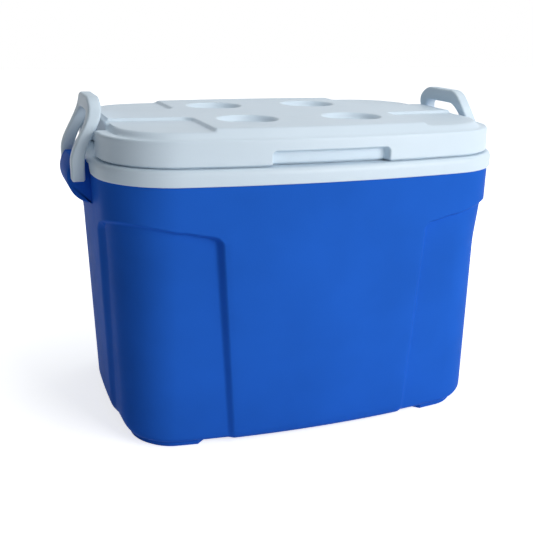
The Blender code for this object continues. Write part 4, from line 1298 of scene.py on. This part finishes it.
def whiten_floor(material, colour):
    """Matt floor that looks white, and faintly shaded by the chest, but lights nothing more."""
    nodes, links = material.node_tree.nodes, material.node_tree.links
    shader = nodes["Principled BSDF"]
    shader.inputs["Base Color"].default_value = (*colour, 1.0)
    shader.inputs["Roughness"].default_value = 0.9
    place = nodes.new("ShaderNodeTexCoord")
    away = nodes.new("ShaderNodeVectorMath")
    away.operation = "LENGTH"
    links.new(place.outputs["Object"], away.inputs[0])
    fade = nodes.new("ShaderNodeMapRange")
    fade.interpolation_type = "SMOOTHSTEP"
    fade.inputs["From Min"].default_value = FLOOR_FADE[0]
    fade.inputs["From Max"].default_value = FLOOR_FADE[1]
    fade.inputs["To Min"].default_value = FLOOR_GLOW
    links.new(away.outputs["Value"], fade.inputs["Value"])
    glow = nodes.new("ShaderNodeMath")
    glow.operation = "MULTIPLY"
    links.new(fade.outputs["Result"], glow.inputs[0])
    links.new(seen_directly(nodes, links), glow.inputs[1])
    emission = nodes.new("ShaderNodeEmission")
    links.new(glow.outputs[0], emission.inputs["Strength"])
    both = nodes.new("ShaderNodeAddShader")
    links.new(shader.outputs[0], both.inputs[0])
    links.new(emission.outputs[0], both.inputs[1])
    links.new(both.outputs[0], nodes["Material Output"].inputs["Surface"])


class COOLER_OT_stage(bpy.types.Operator):
    """Sets up the floor, the soft lights, the white surroundings and the camera"""

    bl_idname = "cooler.stage"
    bl_label = "Stage"

    def execute(self, context):
        scene = context.scene
        scene.view_settings.view_transform = "Standard"

        body = bmesh.new()
        bmesh.ops.create_grid(body, x_segments=2, y_segments=2, size=6.0)
        floor = finish_body("studio_floor", body)
        material = bpy.data.materials.new("studio_floor_finish")
        material.use_nodes = True
        whiten_floor(material, scene.chest_colours.floor)
        floor.data.materials.append(material)

        world = bpy.data.worlds.new("studio_surroundings")
        scene.world = world
        world.use_nodes = True
        whiten_world(world)

        middle = (0.0, 0.0, 0.2)
        softbox("key_softbox", (0.92, -1.60, 0.90), middle, (1.1, 1.1), 25.5, (1.0, 0.99, 0.97))
        softbox("top_softbox", (0.4, 0.1, 1.8), middle, (1.2, 1.0), 10.0, (0.95, 0.98, 1.0))

        data = bpy.data.cameras.new("photo_camera")
        data.sensor_width = 36.0
        data.lens = 54.136
        data.clip_start = 0.05
        camera = bpy.data.objects.new("photo_camera", data)
        scene.collection.objects.link(camera)
        yaw, pitch, roll = (math.radians(a) for a in (20.0110, 17.4407, 1.0639))
        ahead = Vector((math.sin(yaw) * math.cos(pitch), math.cos(yaw) * math.cos(pitch), -math.sin(pitch)))
        right = Vector((math.cos(yaw), -math.sin(yaw), 0.0))
        up = right.cross(ahead)
        across = math.cos(roll) * right + math.sin(roll) * up
        upright = -math.sin(roll) * right + math.cos(roll) * up
        turn = Matrix((across, upright, -ahead)).transposed().to_4x4()
        camera.matrix_world = Matrix.Translation((-0.34961, -0.92342, 0.46656)) @ turn
        scene.camera = camera
        return {"FINISHED"}


class COOLER_PT_panel(bpy.types.Panel):
    """Lists the sizes, the colours and the pieces of the cooler chest"""

    bl_idname = "COOLER_PT_panel"
    bl_label = "Cooler chest"
    bl_space_type = "VIEW_3D"
    bl_region_type = "UI"
    bl_category = "Cooler chest"

    def draw(self, context):
        layout = self.layout
        for group in ("chest_sizes", "chest_lid", "chest_handle", "chest_colours"):
            box = layout.box()
            settings = getattr(context.scene, group)
            for name in settings.bl_rna.properties.keys():
                if name not in ("rna_type", "name"):
                    box.prop(settings, name)
        for operator in STEPS:
            layout.operator(operator.bl_idname)


GROUPS = {
    "chest_sizes": ChestSizes,
    "chest_lid": LidSizes,
    "chest_handle": HandleSizes,
    "chest_colours": ChestColours,
}
STEPS = (
    COOLER_OT_shell,
    COOLER_OT_liner,
    COOLER_OT_lid,
    COOLER_OT_lid_panel,
    COOLER_OT_handles,
    COOLER_OT_inside,
    COOLER_OT_stage,
)


def register():
    for item in (*GROUPS.values(), *STEPS, COOLER_PT_panel):
        bpy.utils.register_class(item)
    for name, group in GROUPS.items():
        setattr(bpy.types.Scene, name, PointerProperty(type=group))


def unregister():
    for name in GROUPS:
        delattr(bpy.types.Scene, name)
    for item in (COOLER_PT_panel, *reversed(STEPS), *reversed(GROUPS.values())):
        bpy.utils.unregister_class(item)


def main():
    register()
    bpy.ops.cooler.shell()
    bpy.ops.cooler.liner()
    bpy.ops.cooler.lid()
    bpy.ops.cooler.lid_panel()
    bpy.ops.cooler.handles()
    bpy.ops.cooler.inside()
    bpy.ops.cooler.stage()


if __name__ == "__main__":
    main()
